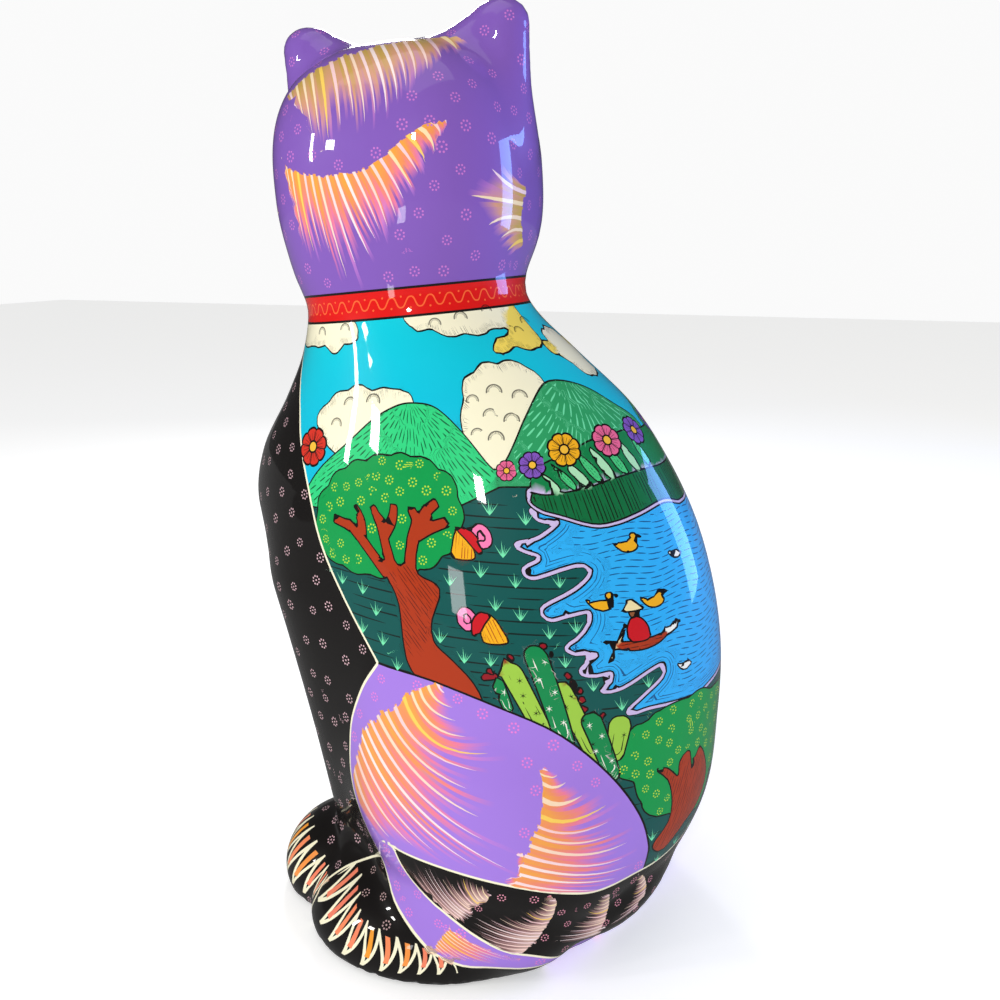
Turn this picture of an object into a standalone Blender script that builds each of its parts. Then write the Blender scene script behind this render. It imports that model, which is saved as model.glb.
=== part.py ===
"""A seated ceramic cat with its head turned over its right shoulder, cast in one piece.

The body faces -Y with its left side to +X, and the face looks along -X. The origin is on the
floor, in the middle of the flat underside. The figure is drawn as one smooth blended form:
a torso lofted through oval sections, with haunches, legs, paws, tail, head and ears blended
onto it. The form is a distance function, and its zero surface is traced into facets.
"""
import bmesh
import bpy
import numpy as np

# Driving sizes, in metres.
NECK_HEIGHT = 0.290     # floor to the middle of the collar
BODY_LENGTH = 0.226     # front of the chest to the back of the rump
BODY_WIDTH = 0.174      # across the ribs, at their widest
HEAD_WIDTH = 0.112      # across the cheeks
FACET = 0.020           # length of a facet, as a share of the whole figure's height

# What the figure is drawn to. Sizes below are in millimetres on a drawing with a neck at 290,
# a body 226 long and 174 wide and a head 112 across, and the driving sizes stretch it.
DRAWN_BODY = (174.0, 226.0, 290.0)
DRAWN_HEAD = 112.0

# Sections of the torso: height, middle, reach forward, reach back, half width.
TORSO = [
    (-20, 2, 50, 54, 62),
    (0, 3, 58, 66, 71),
    (15, 4, 61, 76, 78),
    (35, 5, 64, 85, 84),
    (60, 6, 72, 94, 87),
    (100, 4, 86, 100, 87),
    (135, 0, 98, 103.5, 85),
    (165, -6, 107, 104, 81),
    (192, -13, 108.5, 102, 76),
    (215, -18, 98.5, 95, 70),
    (240, -23, 79, 82, 62),
    (262, -31, 61, 65, 54.5),
    (280, -39, 50, 53, 49.5),
    (295, -42.5, 49, 48, 48.5),
    (315, -43, 45, 44, 45),
]
CHEST_NARROWING = 0.2
CHEST_TOP = 230
NECK_END = 315
UNDERSIDE_EDGE = 2.5

# Limbs of the left side, which the right side mirrors: centre, half sizes, blend.
HAUNCH = ((48, 12, 75), (47, 59, 71), 8)
HAUNCH_LEAN = 38
HOCK = ((60, 10, 24), (29, 48, 30), 8)
HIND_PAW = ((57, -17, 8), (38.5, 54, 27), 5)
HIND_PAW_TURN = 3
FRONT_PAW = ((29, -67, 10), (35, 34, 28), 5)
FORELEG_TOP = (32, -65, 160)
FORELEG_FOOT = (31, -46, 25)
FORELEG_RADII = (28, 22)
FORELEG_BLEND = 26

# The tail lies round the base over the left side: turn from +Y towards +X in degrees, distance
# from the middle, height and radius.
TAIL = [
    (-45, 52, 50, 10),
    (-20, 58, 44, 16),
    (5, 62, 37, 19),
    (30, 64.5, 30, 19.5),
    (48, 65.5, 28.5, 19),
    (62, 67, 31, 18),
    (74, 71, 37, 16),
    (84, 76, 45, 13),
    (92, 80, 52, 10),
    (99, 82, 60, 6),
    (103, 82, 66, 3),
]
TAIL_MIDDLE = 4
TAIL_OVAL = 1.06
TAIL_BLEND = 3
TAIL_SAMPLES = 4

# The head in its own frame: X along the face, Y to its left, Z up, from the skull's middle.
SKULL = (56, 56, 57)
SKULL_POWER = 2.6
HEAD_PLACE = (-3, -40, 44)      # from the middle of the neck, on the body's drawing
NECK_BLEND = 12
HEAD_TURN = 180                 # of the face, from +X
HEAD_LEAN = 3.5                 # of the crown towards its left ear
MUZZLE = ((46, 0, -17), (22, 27, 20), 14)
CHEEK = ((58, 9.5, -19), (14, 12.5, 11), 5)
CHIN = ((56, 0, -31), (11, 11, 8), 6)
NOSE = ((69, 0, -8), (5, 7, 4.5), 2)
EYE = ((47, 22, 8), (9, 12, 8), 2)
BRIDGE = ((50, 0, 18), (64, 0, -6), (10, 7), 10)
EAR_OUTER = ((1, 37, 18), (1, 48, 60), (20, 9.5), 8)
EAR_INNER = ((1, 16, 34), (1, 42, 57), (22, 12), 5)
EAR_HOLLOW = ((19, 34, 30), (14, 43, 52), (10, 5), 4)

# How the form is traced: the top of the head above the neck, the room round the body as a share
# of its width and length, the first cell's share below the floor, and shares of a cell.
DRAWN_HEAD_TOP = 120
ROOM_ROUND = 0.66
FIRST_CELL = 1.5
SLOPE_STEP = 0.02
FLAT_SHARE = 0.001

CAT_COLOUR = (0.30, 0.16, 0.56, 1)
CAT_ROUGHNESS = 0.12


def smooth_union(a, b, reach):
    share = np.clip(0.5 + 0.5 * (b - a) / reach, 0, 1)
    return b * (1 - share) + a * share - reach * share * (1 - share)


def smooth_common(a, b, reach):
    return -smooth_union(-a, -b, reach)


def turned(points, axis, degrees):
    """The points turned about a coordinate axis through the origin."""
    angle = np.radians(degrees)
    first, second = {"x": (1, 2), "y": (2, 0), "z": (0, 1)}[axis]
    result = points.copy()
    result[:, first] = points[:, first] * np.cos(angle) - points[:, second] * np.sin(angle)
    result[:, second] = points[:, first] * np.sin(angle) + points[:, second] * np.cos(angle)
    return result


def oval(points, half_sizes):
    """Distance to an ellipsoid round the origin, close near its surface."""
    half_sizes = np.array(half_sizes, float)
    share = np.linalg.norm(points / half_sizes, axis=1)
    slope = np.linalg.norm(points / half_sizes**2, axis=1)
    return share * (share - 1) / np.maximum(slope, 1e-9)


def squared_oval(points, half_sizes, power):
    """The same, with fuller corners for a power over 2."""
    ratio = np.abs(points / np.array(half_sizes, float))
    share = (ratio**power).sum(1) ** (1 / power)
    slope = ratio ** (power - 1) / half_sizes * share[:, None] ** (1 - power)
    return (share - 1) / np.maximum(np.linalg.norm(slope, axis=1), 1e-9)


def limb(points, start, end, radii):
    """Distance to a round bar whose radius changes evenly from start to end."""
    start = np.array(start, float)
    along = np.array(end, float) - start
    share = np.clip((points - start) @ along / (along @ along), 0, 1)
    radius = radii[0] + (radii[1] - radii[0]) * share
    return np.linalg.norm(points - start - share[:, None] * along, axis=1) - radius


def through_rows(rows, place):
    """Rows read at the places given, with a smooth curve through their first column."""
    rows = np.array(rows, float)
    at, values = rows[:, 0], rows[:, 1:]
    gaps = np.diff(at)
    rises = np.diff(values, axis=0) / gaps[:, None]
    slopes = np.empty_like(values)
    slopes[0], slopes[-1] = rises[0], rises[-1]
    weights = gaps[1:] + gaps[:-1]
    slopes[1:-1] = (rises[:-1] * gaps[1:, None] + rises[1:] * gaps[:-1, None]) / weights[:, None]
    place = np.clip(place, at[0], at[-1])
    row = np.clip(np.searchsorted(at, place) - 1, 0, len(gaps) - 1)
    t = ((place - at[row]) / gaps[row])[:, None]
    gap = gaps[row][:, None]
    return ((1 + 2 * t) * (1 - t) ** 2 * values[row] + t * (1 - t) ** 2 * gap * slopes[row]
            + t * t * (3 - 2 * t) * values[row + 1] + t * t * (t - 1) * gap * slopes[row + 1])


def torso(points):
    middle, forward, back, half_width = through_rows(TORSO, points[:, 2]).T
    y = points[:, 1] - middle
    reach = np.where(y < 0, forward, back)
    low_part = np.clip((CHEST_TOP - points[:, 2]) / 60, 0, 1)
    x = points[:, 0] / (1 - CHEST_NARROWING * np.clip(-y / reach, 0, 1.2) ** 2 * low_part)
    share = np.hypot(x / half_width, y / reach)
    slope = np.hypot(x / half_width**2, y / reach**2)
    side = share * (share - 1) / np.maximum(slope, 1e-9)
    return smooth_common(side, points[:, 2] - NECK_END, 10)


def tail_line():
    """Points along the middle of the tail, and its radius at each."""
    place = np.linspace(0, len(TAIL) - 1, (len(TAIL) - 1) * TAIL_SAMPLES + 1)
    rows = through_rows([(i, *row) for i, row in enumerate(TAIL)], place)
    angle = np.radians(rows[:, 0])
    x = rows[:, 1] * np.sin(angle)
    y = TAIL_MIDDLE + TAIL_OVAL * rows[:, 1] * np.cos(angle)
    return np.stack([x, y, rows[:, 2]], axis=1), rows[:, 3]


def tail(points):
    line, radii = tail_line()
    distance = np.full(len(points), 1e9)
    for i in range(len(line) - 1):
        piece = limb(points, line[i], line[i + 1], radii[i:i + 2])
        distance = np.minimum(distance, piece)
    return distance


def ear(points):
    """Both ears: points come with Y measured away from the middle of the head."""
    start, end, radii, _ = EAR_OUTER
    outer = limb(points, start, end, radii)
    start, end, radii, blend = EAR_INNER
    both = smooth_union(outer, limb(points, start, end, radii), blend)
    start, end, radii, blend = EAR_HOLLOW
    return smooth_common(both, -limb(points, start, end, radii), blend)


def head(points):
    """Distance to the head, for points in the head's own frame."""
    apart = np.stack([points[:, 0], np.abs(points[:, 1]), points[:, 2]], axis=1)
    form = squared_oval(points, SKULL, SKULL_POWER)
    for centre, half_sizes, blend in (MUZZLE, CHEEK, CHIN, EYE):
        form = smooth_union(form, oval(apart - np.array(centre, float), half_sizes), blend)
    start, end, radii, blend = BRIDGE
    form = smooth_union(form, limb(points, start, end, radii), blend)
    centre, half_sizes, blend = NOSE
    form = smooth_union(form, oval(points - np.array(centre, float), half_sizes), blend)
    return smooth_union(form, ear(apart), EAR_OUTER[3])


def body(points):
    """Distance to everything but the head, on the body's drawing."""
    half = points.copy()
    half[:, 0] = np.abs(half[:, 0])
    form = torso(points)
    centre, half_sizes, blend = HAUNCH
    form = smooth_union(form, oval(turned(half - centre, "x", -HAUNCH_LEAN), half_sizes), blend)
    centre, half_sizes, blend = HOCK
    form = smooth_union(form, oval(half - centre, half_sizes), blend)
    centre, half_sizes, blend = HIND_PAW
    form = smooth_union(form, oval(turned(half - centre, "z", -HIND_PAW_TURN), half_sizes), blend)
    foreleg = limb(half, FORELEG_TOP, FORELEG_FOOT, FORELEG_RADII)
    form = smooth_union(form, foreleg, FORELEG_BLEND)
    centre, half_sizes, blend = FRONT_PAW
    form = smooth_union(form, oval(half - centre, half_sizes), blend)
    return smooth_union(form, tail(points), TAIL_BLEND)


def cat(points):
    """Distance from points, in metres, to the whole cat, in drawn millimetres."""
    stretch = np.array([BODY_WIDTH, BODY_LENGTH, NECK_HEIGHT]) / DRAWN_BODY
    drawn = points / stretch
    head_stretch = HEAD_WIDTH / DRAWN_HEAD
    neck = np.array([HEAD_PLACE[0], HEAD_PLACE[1], DRAWN_BODY[2]]) * stretch
    from_neck = turned((points - neck) / head_stretch, "z", -HEAD_TURN)
    from_neck = turned(from_neck, "x", HEAD_LEAN)
    from_neck[:, 2] -= HEAD_PLACE[2]
    form = smooth_union(body(drawn), head(from_neck), NECK_BLEND)
    return smooth_common(form, -drawn[:, 2], UNDERSIDE_EDGE)


def slope_of(form, points, step):
    slope = np.empty_like(points)
    for axis in range(3):
        move = np.zeros(3)
        move[axis] = step
        slope[:, axis] = (form(points + move) - form(points - move)) / (2 * step)
    return slope


def settled(form, points, step, rounds=4):
    """The points moved along the slope of the form onto its surface."""
    for _ in range(rounds):
        slope = slope_of(form, points, step)
        steep = np.maximum((slope**2).sum(1), 1e-12)
        points = points - (form(points) / steep)[:, None] * slope
    return points


def traced(form, low, high, cell):
    """Corners and four-sided faces of the form's surface, one corner in each cell it crosses."""
    axes = [np.arange(start, end + cell, cell) for start, end in zip(low, high)]
    grid = np.stack(np.meshgrid(*axes, indexing="ij"), axis=-1)
    value = form(grid.reshape(-1, 3)).reshape(grid.shape[:3])
    cells = [count - 1 for count in value.shape]
    total = np.zeros((*cells, 3))
    count = np.zeros(cells)
    faces = []
    for axis in range(3):
        near = [slice(None)] * 3
        far = [slice(None)] * 3
        near[axis] = slice(0, -1)
        far[axis] = slice(1, None)
        start, end = value[tuple(near)], value[tuple(far)]
        crossed = (start < 0) != (end < 0)
        edge = np.argwhere(crossed)
        place = edge.astype(float)
        place[:, axis] += start[crossed] / (start[crossed] - end[crossed])
        across, along = (axis + 1) % 3, (axis + 2) % 3
        round_edge = []
        for step_across, step_along in ((0, 0), (-1, 0), (-1, -1), (0, -1)):
            cell_index = edge.copy()
            cell_index[:, across] += step_across
            cell_index[:, along] += step_along
            np.add.at(total, tuple(cell_index.T), place)
            np.add.at(count, tuple(cell_index.T), 1)
            round_edge.append(cell_index)
        face = np.stack(round_edge, axis=1)
        inward = start[crossed] >= 0
        face[inward] = face[inward][:, ::-1]
        faces.append(face)
    used = count > 0
    number = np.full(cells, -1)
    number[used] = np.arange(used.sum())
    corners = total[used] / count[used][:, None] * cell + np.array([line[0] for line in axes])
    faces = np.concatenate(faces)
    return corners, number[tuple(faces.reshape(-1, 3).T)].reshape(-1, 4)


def cat_mesh():
    """The traced surface as a closed mesh of triangles, with one flat face underneath."""
    height = NECK_HEIGHT + DRAWN_HEAD_TOP * HEAD_WIDTH / DRAWN_HEAD
    room = ROOM_ROUND * np.array([BODY_WIDTH, BODY_LENGTH, 0])
    cell = FACET * height
    low = -room - FIRST_CELL * cell
    high = room + (0, 0, height + cell)
    corners, faces = traced(cat, low, high, cell)
    corners = settled(cat, corners, SLOPE_STEP * cell)
    mesh = bpy.data.meshes.new("ceramic_cat")
    bm = bmesh.new()
    points = [bm.verts.new(corner) for corner in corners]
    for face in faces:
        bm.faces.new([points[i] for i in face])
    bm.normal_update()
    level = FLAT_SHARE * cell
    under = [face for face in bm.faces if max(vert.co.z for vert in face.verts) < level]
    for vert in {vert for face in under for vert in face.verts}:
        vert.co.z = 0
    bmesh.ops.dissolve_faces(bm, faces=under)
    bmesh.ops.triangulate(bm, faces=bm.faces[:], quad_method="SHORT_EDGE")
    bmesh.ops.recalc_face_normals(bm, faces=bm.faces[:])
    bm.to_mesh(mesh)
    bm.free()
    mesh.shade_smooth()
    return mesh


def painted_glaze():
    material = bpy.data.materials.new("painted_glaze")
    material.use_nodes = True
    shader = material.node_tree.nodes["Principled BSDF"]
    shader.inputs["Base Color"].default_value = CAT_COLOUR
    shader.inputs["Roughness"].default_value = CAT_ROUGHNESS
    shader.inputs["Metallic"].default_value = 0
    return material


def main():
    for old in list(bpy.data.objects):
        bpy.data.objects.remove(old, do_unlink=True)
    figure = bpy.data.collections.new("ceramic_cat_figure")
    bpy.context.scene.collection.children.link(figure)
    cat_object = bpy.data.objects.new("ceramic_cat", cat_mesh())
    cat_object.data.materials.append(painted_glaze())
    figure.objects.link(cat_object)


main()
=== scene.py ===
"""A painted and lacquered ceramic cat. The glaze is drawn on one fine surface that keeps the CAD form.

Lengths are in millimetres on the cat's drawing, whose frame is the CAD frame, and the mesh is
made in metres. Places given in pixels are on a picture of 1000 by 1000 taken by the camera.
"""
import math

import bmesh
import bpy
import numpy as np
from mathutils import Matrix, Vector
from mathutils.bvhtree import BVHTree
from mathutils.kdtree import KDTree


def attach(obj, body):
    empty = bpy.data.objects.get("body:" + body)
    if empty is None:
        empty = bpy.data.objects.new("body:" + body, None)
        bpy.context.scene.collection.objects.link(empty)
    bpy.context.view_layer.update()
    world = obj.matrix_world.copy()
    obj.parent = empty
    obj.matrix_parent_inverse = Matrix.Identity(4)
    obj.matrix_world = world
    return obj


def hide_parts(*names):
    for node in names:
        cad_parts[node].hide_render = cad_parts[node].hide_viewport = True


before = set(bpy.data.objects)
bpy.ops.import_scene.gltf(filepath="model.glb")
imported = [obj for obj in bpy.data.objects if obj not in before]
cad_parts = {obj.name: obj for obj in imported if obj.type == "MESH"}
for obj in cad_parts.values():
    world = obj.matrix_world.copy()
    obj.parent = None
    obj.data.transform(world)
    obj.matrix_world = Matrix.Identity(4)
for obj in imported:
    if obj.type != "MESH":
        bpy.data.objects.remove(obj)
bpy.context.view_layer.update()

MM = 0.001
TINY = 1e-9
HUGE = 1e9

# The camera: its turn from looking along +Y, its dip, its distance from the upright axis and its
# height.
CAMERA_TURN = 110
CAMERA_DIP = 14.5
CAMERA_AWAY = 448
CAMERA_HEIGHT = 309
PICTURE = 1000
LENS = 36
CLIP_START = 0.01

# The form, as the CAD model draws it.
TORSO = [
    (-20, 2, 50, 54, 62),
    (0, 3, 58, 66, 71),
    (15, 4, 61, 76, 78),
    (35, 5, 64, 85, 84),
    (60, 6, 72, 94, 87),
    (100, 4, 86, 100, 87),
    (135, 0, 98, 103.5, 85),
    (165, -6, 107, 104, 81),
    (192, -13, 108.5, 102, 76),
    (215, -18, 98.5, 95, 70),
    (240, -23, 79, 82, 62),
    (262, -31, 61, 65, 54.5),
    (280, -39, 50, 53, 49.5),
    (295, -42.5, 49, 48, 48.5),
    (315, -43, 45, 44, 45),
]
CHEST_NARROWING = 0.2
CHEST_TOP = 230
CHEST_FADE = 60
CHEST_REACH = 1.2
NECK_END = 315
NECK_END_BLEND = 10
NECK_MIDDLE = 290
UNDERSIDE_EDGE = 2.5
HAUNCH = ((48, 12, 75), (47, 59, 71), 8)
HAUNCH_LEAN = 38
HOCK = ((60, 10, 24), (29, 48, 30), 8)
HIND_PAW = ((57, -17, 8), (38.5, 54, 27), 5)
HIND_PAW_TURN = 3
FRONT_PAW = ((29, -67, 10), (35, 34, 28), 5)
FORELEG_TOP = (32, -65, 160)
FORELEG_FOOT = (31, -46, 25)
FORELEG_RADII = (28, 22)
FORELEG_BLEND = 26
TAIL = [
    (-45, 52, 50, 10),
    (-20, 58, 44, 16),
    (5, 62, 37, 19),
    (30, 64.5, 30, 19.5),
    (48, 65.5, 28.5, 19),
    (62, 67, 31, 18),
    (74, 71, 37, 16),
    (84, 76, 45, 13),
    (92, 80, 52, 10),
    (99, 82, 60, 6),
    (103, 82, 66, 3),
]
TAIL_MIDDLE = 4
TAIL_OVAL = 1.06
TAIL_BLEND = 3
TAIL_SAMPLES = 4
SKULL = (56, 56, 57)
SKULL_POWER = 2.6
HEAD_PLACE = (-3, -40, 44)
NECK_BLEND = 12
HEAD_TURN = 180
HEAD_LEAN = 3.5
MUZZLE = ((46, 0, -17), (22, 27, 20), 14)
CHEEK = ((58, 9.5, -19), (14, 12.5, 11), 5)
CHIN = ((56, 0, -31), (11, 11, 8), 6)
NOSE = ((69, 0, -8), (5, 7, 4.5), 2)
EYE = ((47, 22, 8), (9, 12, 8), 2)
BRIDGE = ((50, 0, 18), (64, 0, -6), (10, 7), 10)
EAR_OUTER = ((1, 37, 18), (1, 48, 60), (20, 9.5), 8)
EAR_INNER = ((1, 16, 34), (1, 42, 57), (22, 12), 5)
EAR_HOLLOW = ((19, 34, 30), (14, 43, 52), (10, 5), 4)


def smooth_union(a, b, reach):
    share = np.clip(0.5 + 0.5 * (b - a) / reach, 0, 1)
    return b * (1 - share) + a * share - reach * share * (1 - share)


def smooth_common(a, b, reach):
    return -smooth_union(-a, -b, reach)


def turned(points, axis, degrees):
    angle = np.radians(degrees)
    first, second = {"x": (1, 2), "y": (2, 0), "z": (0, 1)}[axis]
    result = points.copy()
    result[:, first] = points[:, first] * np.cos(angle) - points[:, second] * np.sin(angle)
    result[:, second] = points[:, first] * np.sin(angle) + points[:, second] * np.cos(angle)
    return result


def oval(points, half_sizes):
    half_sizes = np.array(half_sizes, float)
    share = np.linalg.norm(points / half_sizes, axis=1)
    slope = np.linalg.norm(points / half_sizes**2, axis=1)
    return share * (share - 1) / np.maximum(slope, TINY)


def squared_oval(points, half_sizes, power):
    ratio = np.abs(points / np.array(half_sizes, float))
    share = (ratio**power).sum(1) ** (1 / power)
    slope = ratio ** (power - 1) / half_sizes * share[:, None] ** (1 - power)
    return (share - 1) / np.maximum(np.linalg.norm(slope, axis=1), TINY)


def limb(points, start, end, radii):
    start = np.array(start, float)
    along = np.array(end, float) - start
    share = np.clip((points - start) @ along / (along @ along), 0, 1)
    radius = radii[0] + (radii[1] - radii[0]) * share
    return np.linalg.norm(points - start - share[:, None] * along, axis=1) - radius


def through_rows(rows, place):
    """Rows read at the places given, with a smooth curve through their first column."""
    rows = np.array(rows, float)
    at, values = rows[:, 0], rows[:, 1:]
    gaps = np.diff(at)
    rises = np.diff(values, axis=0) / gaps[:, None]
    slopes = np.empty_like(values)
    slopes[0], slopes[-1] = rises[0], rises[-1]
    weights = gaps[1:] + gaps[:-1]
    slopes[1:-1] = (rises[:-1] * gaps[1:, None] + rises[1:] * gaps[:-1, None]) / weights[:, None]
    place = np.clip(place, at[0], at[-1])
    row = np.clip(np.searchsorted(at, place) - 1, 0, len(gaps) - 1)
    t = ((place - at[row]) / gaps[row])[:, None]
    gap = gaps[row][:, None]
    return ((1 + 2 * t) * (1 - t) ** 2 * values[row] + t * (1 - t) ** 2 * gap * slopes[row]
            + t * t * (3 - 2 * t) * values[row + 1] + t * t * (t - 1) * gap * slopes[row + 1])


def torso(points):
    middle, forward, back, half_width = through_rows(TORSO, points[:, 2]).T
    y = points[:, 1] - middle
    reach = np.where(y < 0, forward, back)
    low_part = np.clip((CHEST_TOP - points[:, 2]) / CHEST_FADE, 0, 1)
    forward_share = np.clip(-y / reach, 0, CHEST_REACH)
    x = points[:, 0] / (1 - CHEST_NARROWING * forward_share**2 * low_part)
    share = np.hypot(x / half_width, y / reach)
    slope = np.hypot(x / half_width**2, y / reach**2)
    side = share * (share - 1) / np.maximum(slope, TINY)
    return smooth_common(side, points[:, 2] - NECK_END, NECK_END_BLEND)


def tail_line():
    place = np.linspace(0, len(TAIL) - 1, (len(TAIL) - 1) * TAIL_SAMPLES + 1)
    rows = through_rows([(i, *row) for i, row in enumerate(TAIL)], place)
    angle = np.radians(rows[:, 0])
    x = rows[:, 1] * np.sin(angle)
    y = TAIL_MIDDLE + TAIL_OVAL * rows[:, 1] * np.cos(angle)
    return np.stack([x, y, rows[:, 2]], axis=1), rows[:, 3]


def tail(points):
    line, radii = tail_line()
    distance = np.full(len(points), HUGE)
    for i in range(len(line) - 1):
        piece = limb(points, line[i], line[i + 1], radii[i:i + 2])
        distance = np.minimum(distance, piece)
    return distance


def ear(points):
    start, end, radii, _ = EAR_OUTER
    outer = limb(points, start, end, radii)
    start, end, radii, blend = EAR_INNER
    both = smooth_union(outer, limb(points, start, end, radii), blend)
    start, end, radii, blend = EAR_HOLLOW
    return smooth_common(both, -limb(points, start, end, radii), blend)


def head(points):
    apart = np.stack([points[:, 0], np.abs(points[:, 1]), points[:, 2]], axis=1)
    form = squared_oval(points, SKULL, SKULL_POWER)
    for centre, half_sizes, blend in (MUZZLE, CHEEK, CHIN, EYE):
        form = smooth_union(form, oval(apart - np.array(centre, float), half_sizes), blend)
    start, end, radii, blend = BRIDGE
    form = smooth_union(form, limb(points, start, end, radii), blend)
    centre, half_sizes, blend = NOSE
    form = smooth_union(form, oval(points - np.array(centre, float), half_sizes), blend)
    return smooth_union(form, ear(apart), EAR_OUTER[3])


def trunk(points):
    """Distance to everything but the head and the tail."""
    half = points.copy()
    half[:, 0] = np.abs(half[:, 0])
    form = torso(points)
    centre, half_sizes, blend = HAUNCH
    form = smooth_union(form, oval(turned(half - centre, "x", -HAUNCH_LEAN), half_sizes), blend)
    centre, half_sizes, blend = HOCK
    form = smooth_union(form, oval(half - centre, half_sizes), blend)
    centre, half_sizes, blend = HIND_PAW
    form = smooth_union(form, oval(turned(half - centre, "z", -HIND_PAW_TURN), half_sizes), blend)
    foreleg = limb(half, FORELEG_TOP, FORELEG_FOOT, FORELEG_RADII)
    form = smooth_union(form, foreleg, FORELEG_BLEND)
    centre, half_sizes, blend = FRONT_PAW
    return smooth_union(form, oval(half - centre, half_sizes), blend)


def in_head(points):
    """The points in the head's own frame: X along the face, Y to its left, Z up."""
    neck = np.array([HEAD_PLACE[0], HEAD_PLACE[1], NECK_MIDDLE], float)
    from_neck = turned(turned(points - neck, "z", -HEAD_TURN), "x", HEAD_LEAN)
    from_neck[:, 2] -= HEAD_PLACE[2]
    return from_neck


def cat(points):
    form = smooth_union(trunk(points), tail(points), TAIL_BLEND)
    form = smooth_union(form, head(in_head(points)), NECK_BLEND)
    return smooth_common(form, -points[:, 2], UNDERSIDE_EDGE)


def slope_of(form, points, step=0.2):
    slope = np.empty_like(points)
    for axis in range(3):
        move = np.zeros(3)
        move[axis] = step
        slope[:, axis] = (form(points + move) - form(points - move)) / (2 * step)
    return slope


# The fine surface: how far it lies inside the CAD form, how often the CAD mesh is divided, and how
# often each division is moved onto the form.
WELD = 1e-6
INSET = 0.2
DIVISIONS = 2
SETTLE_ROUNDS = 2


def settled(points, rounds):
    for _ in range(rounds):
        slope = slope_of(cat, points)
        steep = np.maximum((slope**2).sum(1), TINY)
        points = points - ((cat(points) + INSET) / steep)[:, None] * slope
    return points


def settle(bm):
    """Moves the mesh's corners onto the form, apart from those on the edge of the underside."""
    free = [vert for vert in bm.verts if vert.co.z > WELD]
    points = np.array([vert.co for vert in free]) / MM
    for vert, point in zip(free, settled(points, SETTLE_ROUNDS)):
        vert.co = point * MM


def in_picture(face):
    """Whether a face is in the painted landscape on the side that the camera sees."""
    middle = face.calc_center_median() / MM
    in_height = PICTURE_LOW < middle.z < PICTURE_TOP
    return middle.x > PICTURE_SIDE and in_height and middle.y > front_edge(middle.z)


def fine_surface(node):
    bm = bmesh.new()
    bm.from_mesh(node.data)
    bmesh.ops.remove_doubles(bm, verts=bm.verts[:], dist=WELD)
    under = [face for face in bm.faces if max(vert.co.z for vert in face.verts) < WELD]
    bmesh.ops.delete(bm, geom=under, context="FACES")
    for _ in range(DIVISIONS):
        bmesh.ops.subdivide_edges(bm, edges=bm.edges[:], cuts=1)
        settle(bm)
    fine = {edge for face in bm.faces if in_picture(face) for edge in face.edges}
    bmesh.ops.subdivide_edges(bm, edges=list(fine), cuts=1)
    settle(bm)
    bmesh.ops.triangulate(bm, faces=bm.faces[:])
    rim = [edge for edge in bm.edges if edge.is_boundary]
    bmesh.ops.contextual_create(bm, geom=rim)
    bmesh.ops.recalc_face_normals(bm, faces=bm.faces[:])
    mesh = bpy.data.meshes.new("glazed_cat")
    bm.to_mesh(mesh)
    bm.free()
    return mesh


# Where the picture ends: its side, its lowest and highest level, and its front edge by height.
PICTURE_SIDE = -2
PICTURE_LOW = 56
PICTURE_TOP = 292
FRONT_EDGE = [(50, -20), (142, -26), (165, -43), (188, -57), (215, -68), (242, -77), (292, -86)]


def front_edge(height):
    levels, edges = zip(*FRONT_EDGE)
    return float(np.interp(height, levels, edges))


# The camera and what it sees.
def camera_axes():
    turn, dip = math.radians(CAMERA_TURN), math.radians(CAMERA_DIP)
    right = np.array([math.cos(turn), math.sin(turn), 0])
    level = np.array([-math.sin(turn), math.cos(turn), 0])
    ahead = level * math.cos(dip) - np.array([0, 0, math.sin(dip)])
    up = level * math.sin(dip) + np.array([0, 0, math.cos(dip)])
    place = -level * CAMERA_AWAY + np.array([0, 0, CAMERA_HEIGHT])
    return place, right, up, ahead


def add_camera():
    place, right, up, ahead = camera_axes()
    data = bpy.data.cameras.new("camera")
    data.sensor_width = data.lens = LENS
    data.clip_start = CLIP_START
    camera = bpy.data.objects.new("camera", data)
    rotation = Matrix([right, up, -ahead]).transposed().to_4x4()
    camera.matrix_world = Matrix.Translation(Vector(place * MM)) @ rotation
    bpy.context.scene.collection.objects.link(camera)
    bpy.context.scene.camera = camera


def pixels_of(points):
    place, right, up, ahead = camera_axes()
    offset = points - place
    depth = offset @ ahead
    across, high = offset @ right / depth, offset @ up / depth
    return np.stack([0.5 + across, 0.5 - high], axis=1) * PICTURE


def seen(pixels, tree):
    """The points of the surface that the camera sees at these pixels, or its nearest edge."""
    place, right, up, ahead = camera_axes()
    points = []
    for column, row in pixels:
        ray = ahead + (column / PICTURE - 0.5) * right - (row / PICTURE - 0.5) * up
        hit = tree.ray_cast(Vector(place * MM), Vector(ray))[0]
        if hit is None:
            hit = tree.find_nearest(Vector((place + ray * CAMERA_AWAY) * MM))[0]
        points.append(np.array(hit) / MM)
    return np.array(points)


# The body's chart: millimetres round the body from the middle of the back, and height.
CHART_RADIUS = 85


def chart(points):
    middle = through_rows(TORSO, points[:, 2])[:, 0]
    turn = np.arctan2(np.abs(points[:, 0]), points[:, 1] - middle)
    return np.stack([turn * CHART_RADIUS, points[:, 2]], axis=1)


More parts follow.
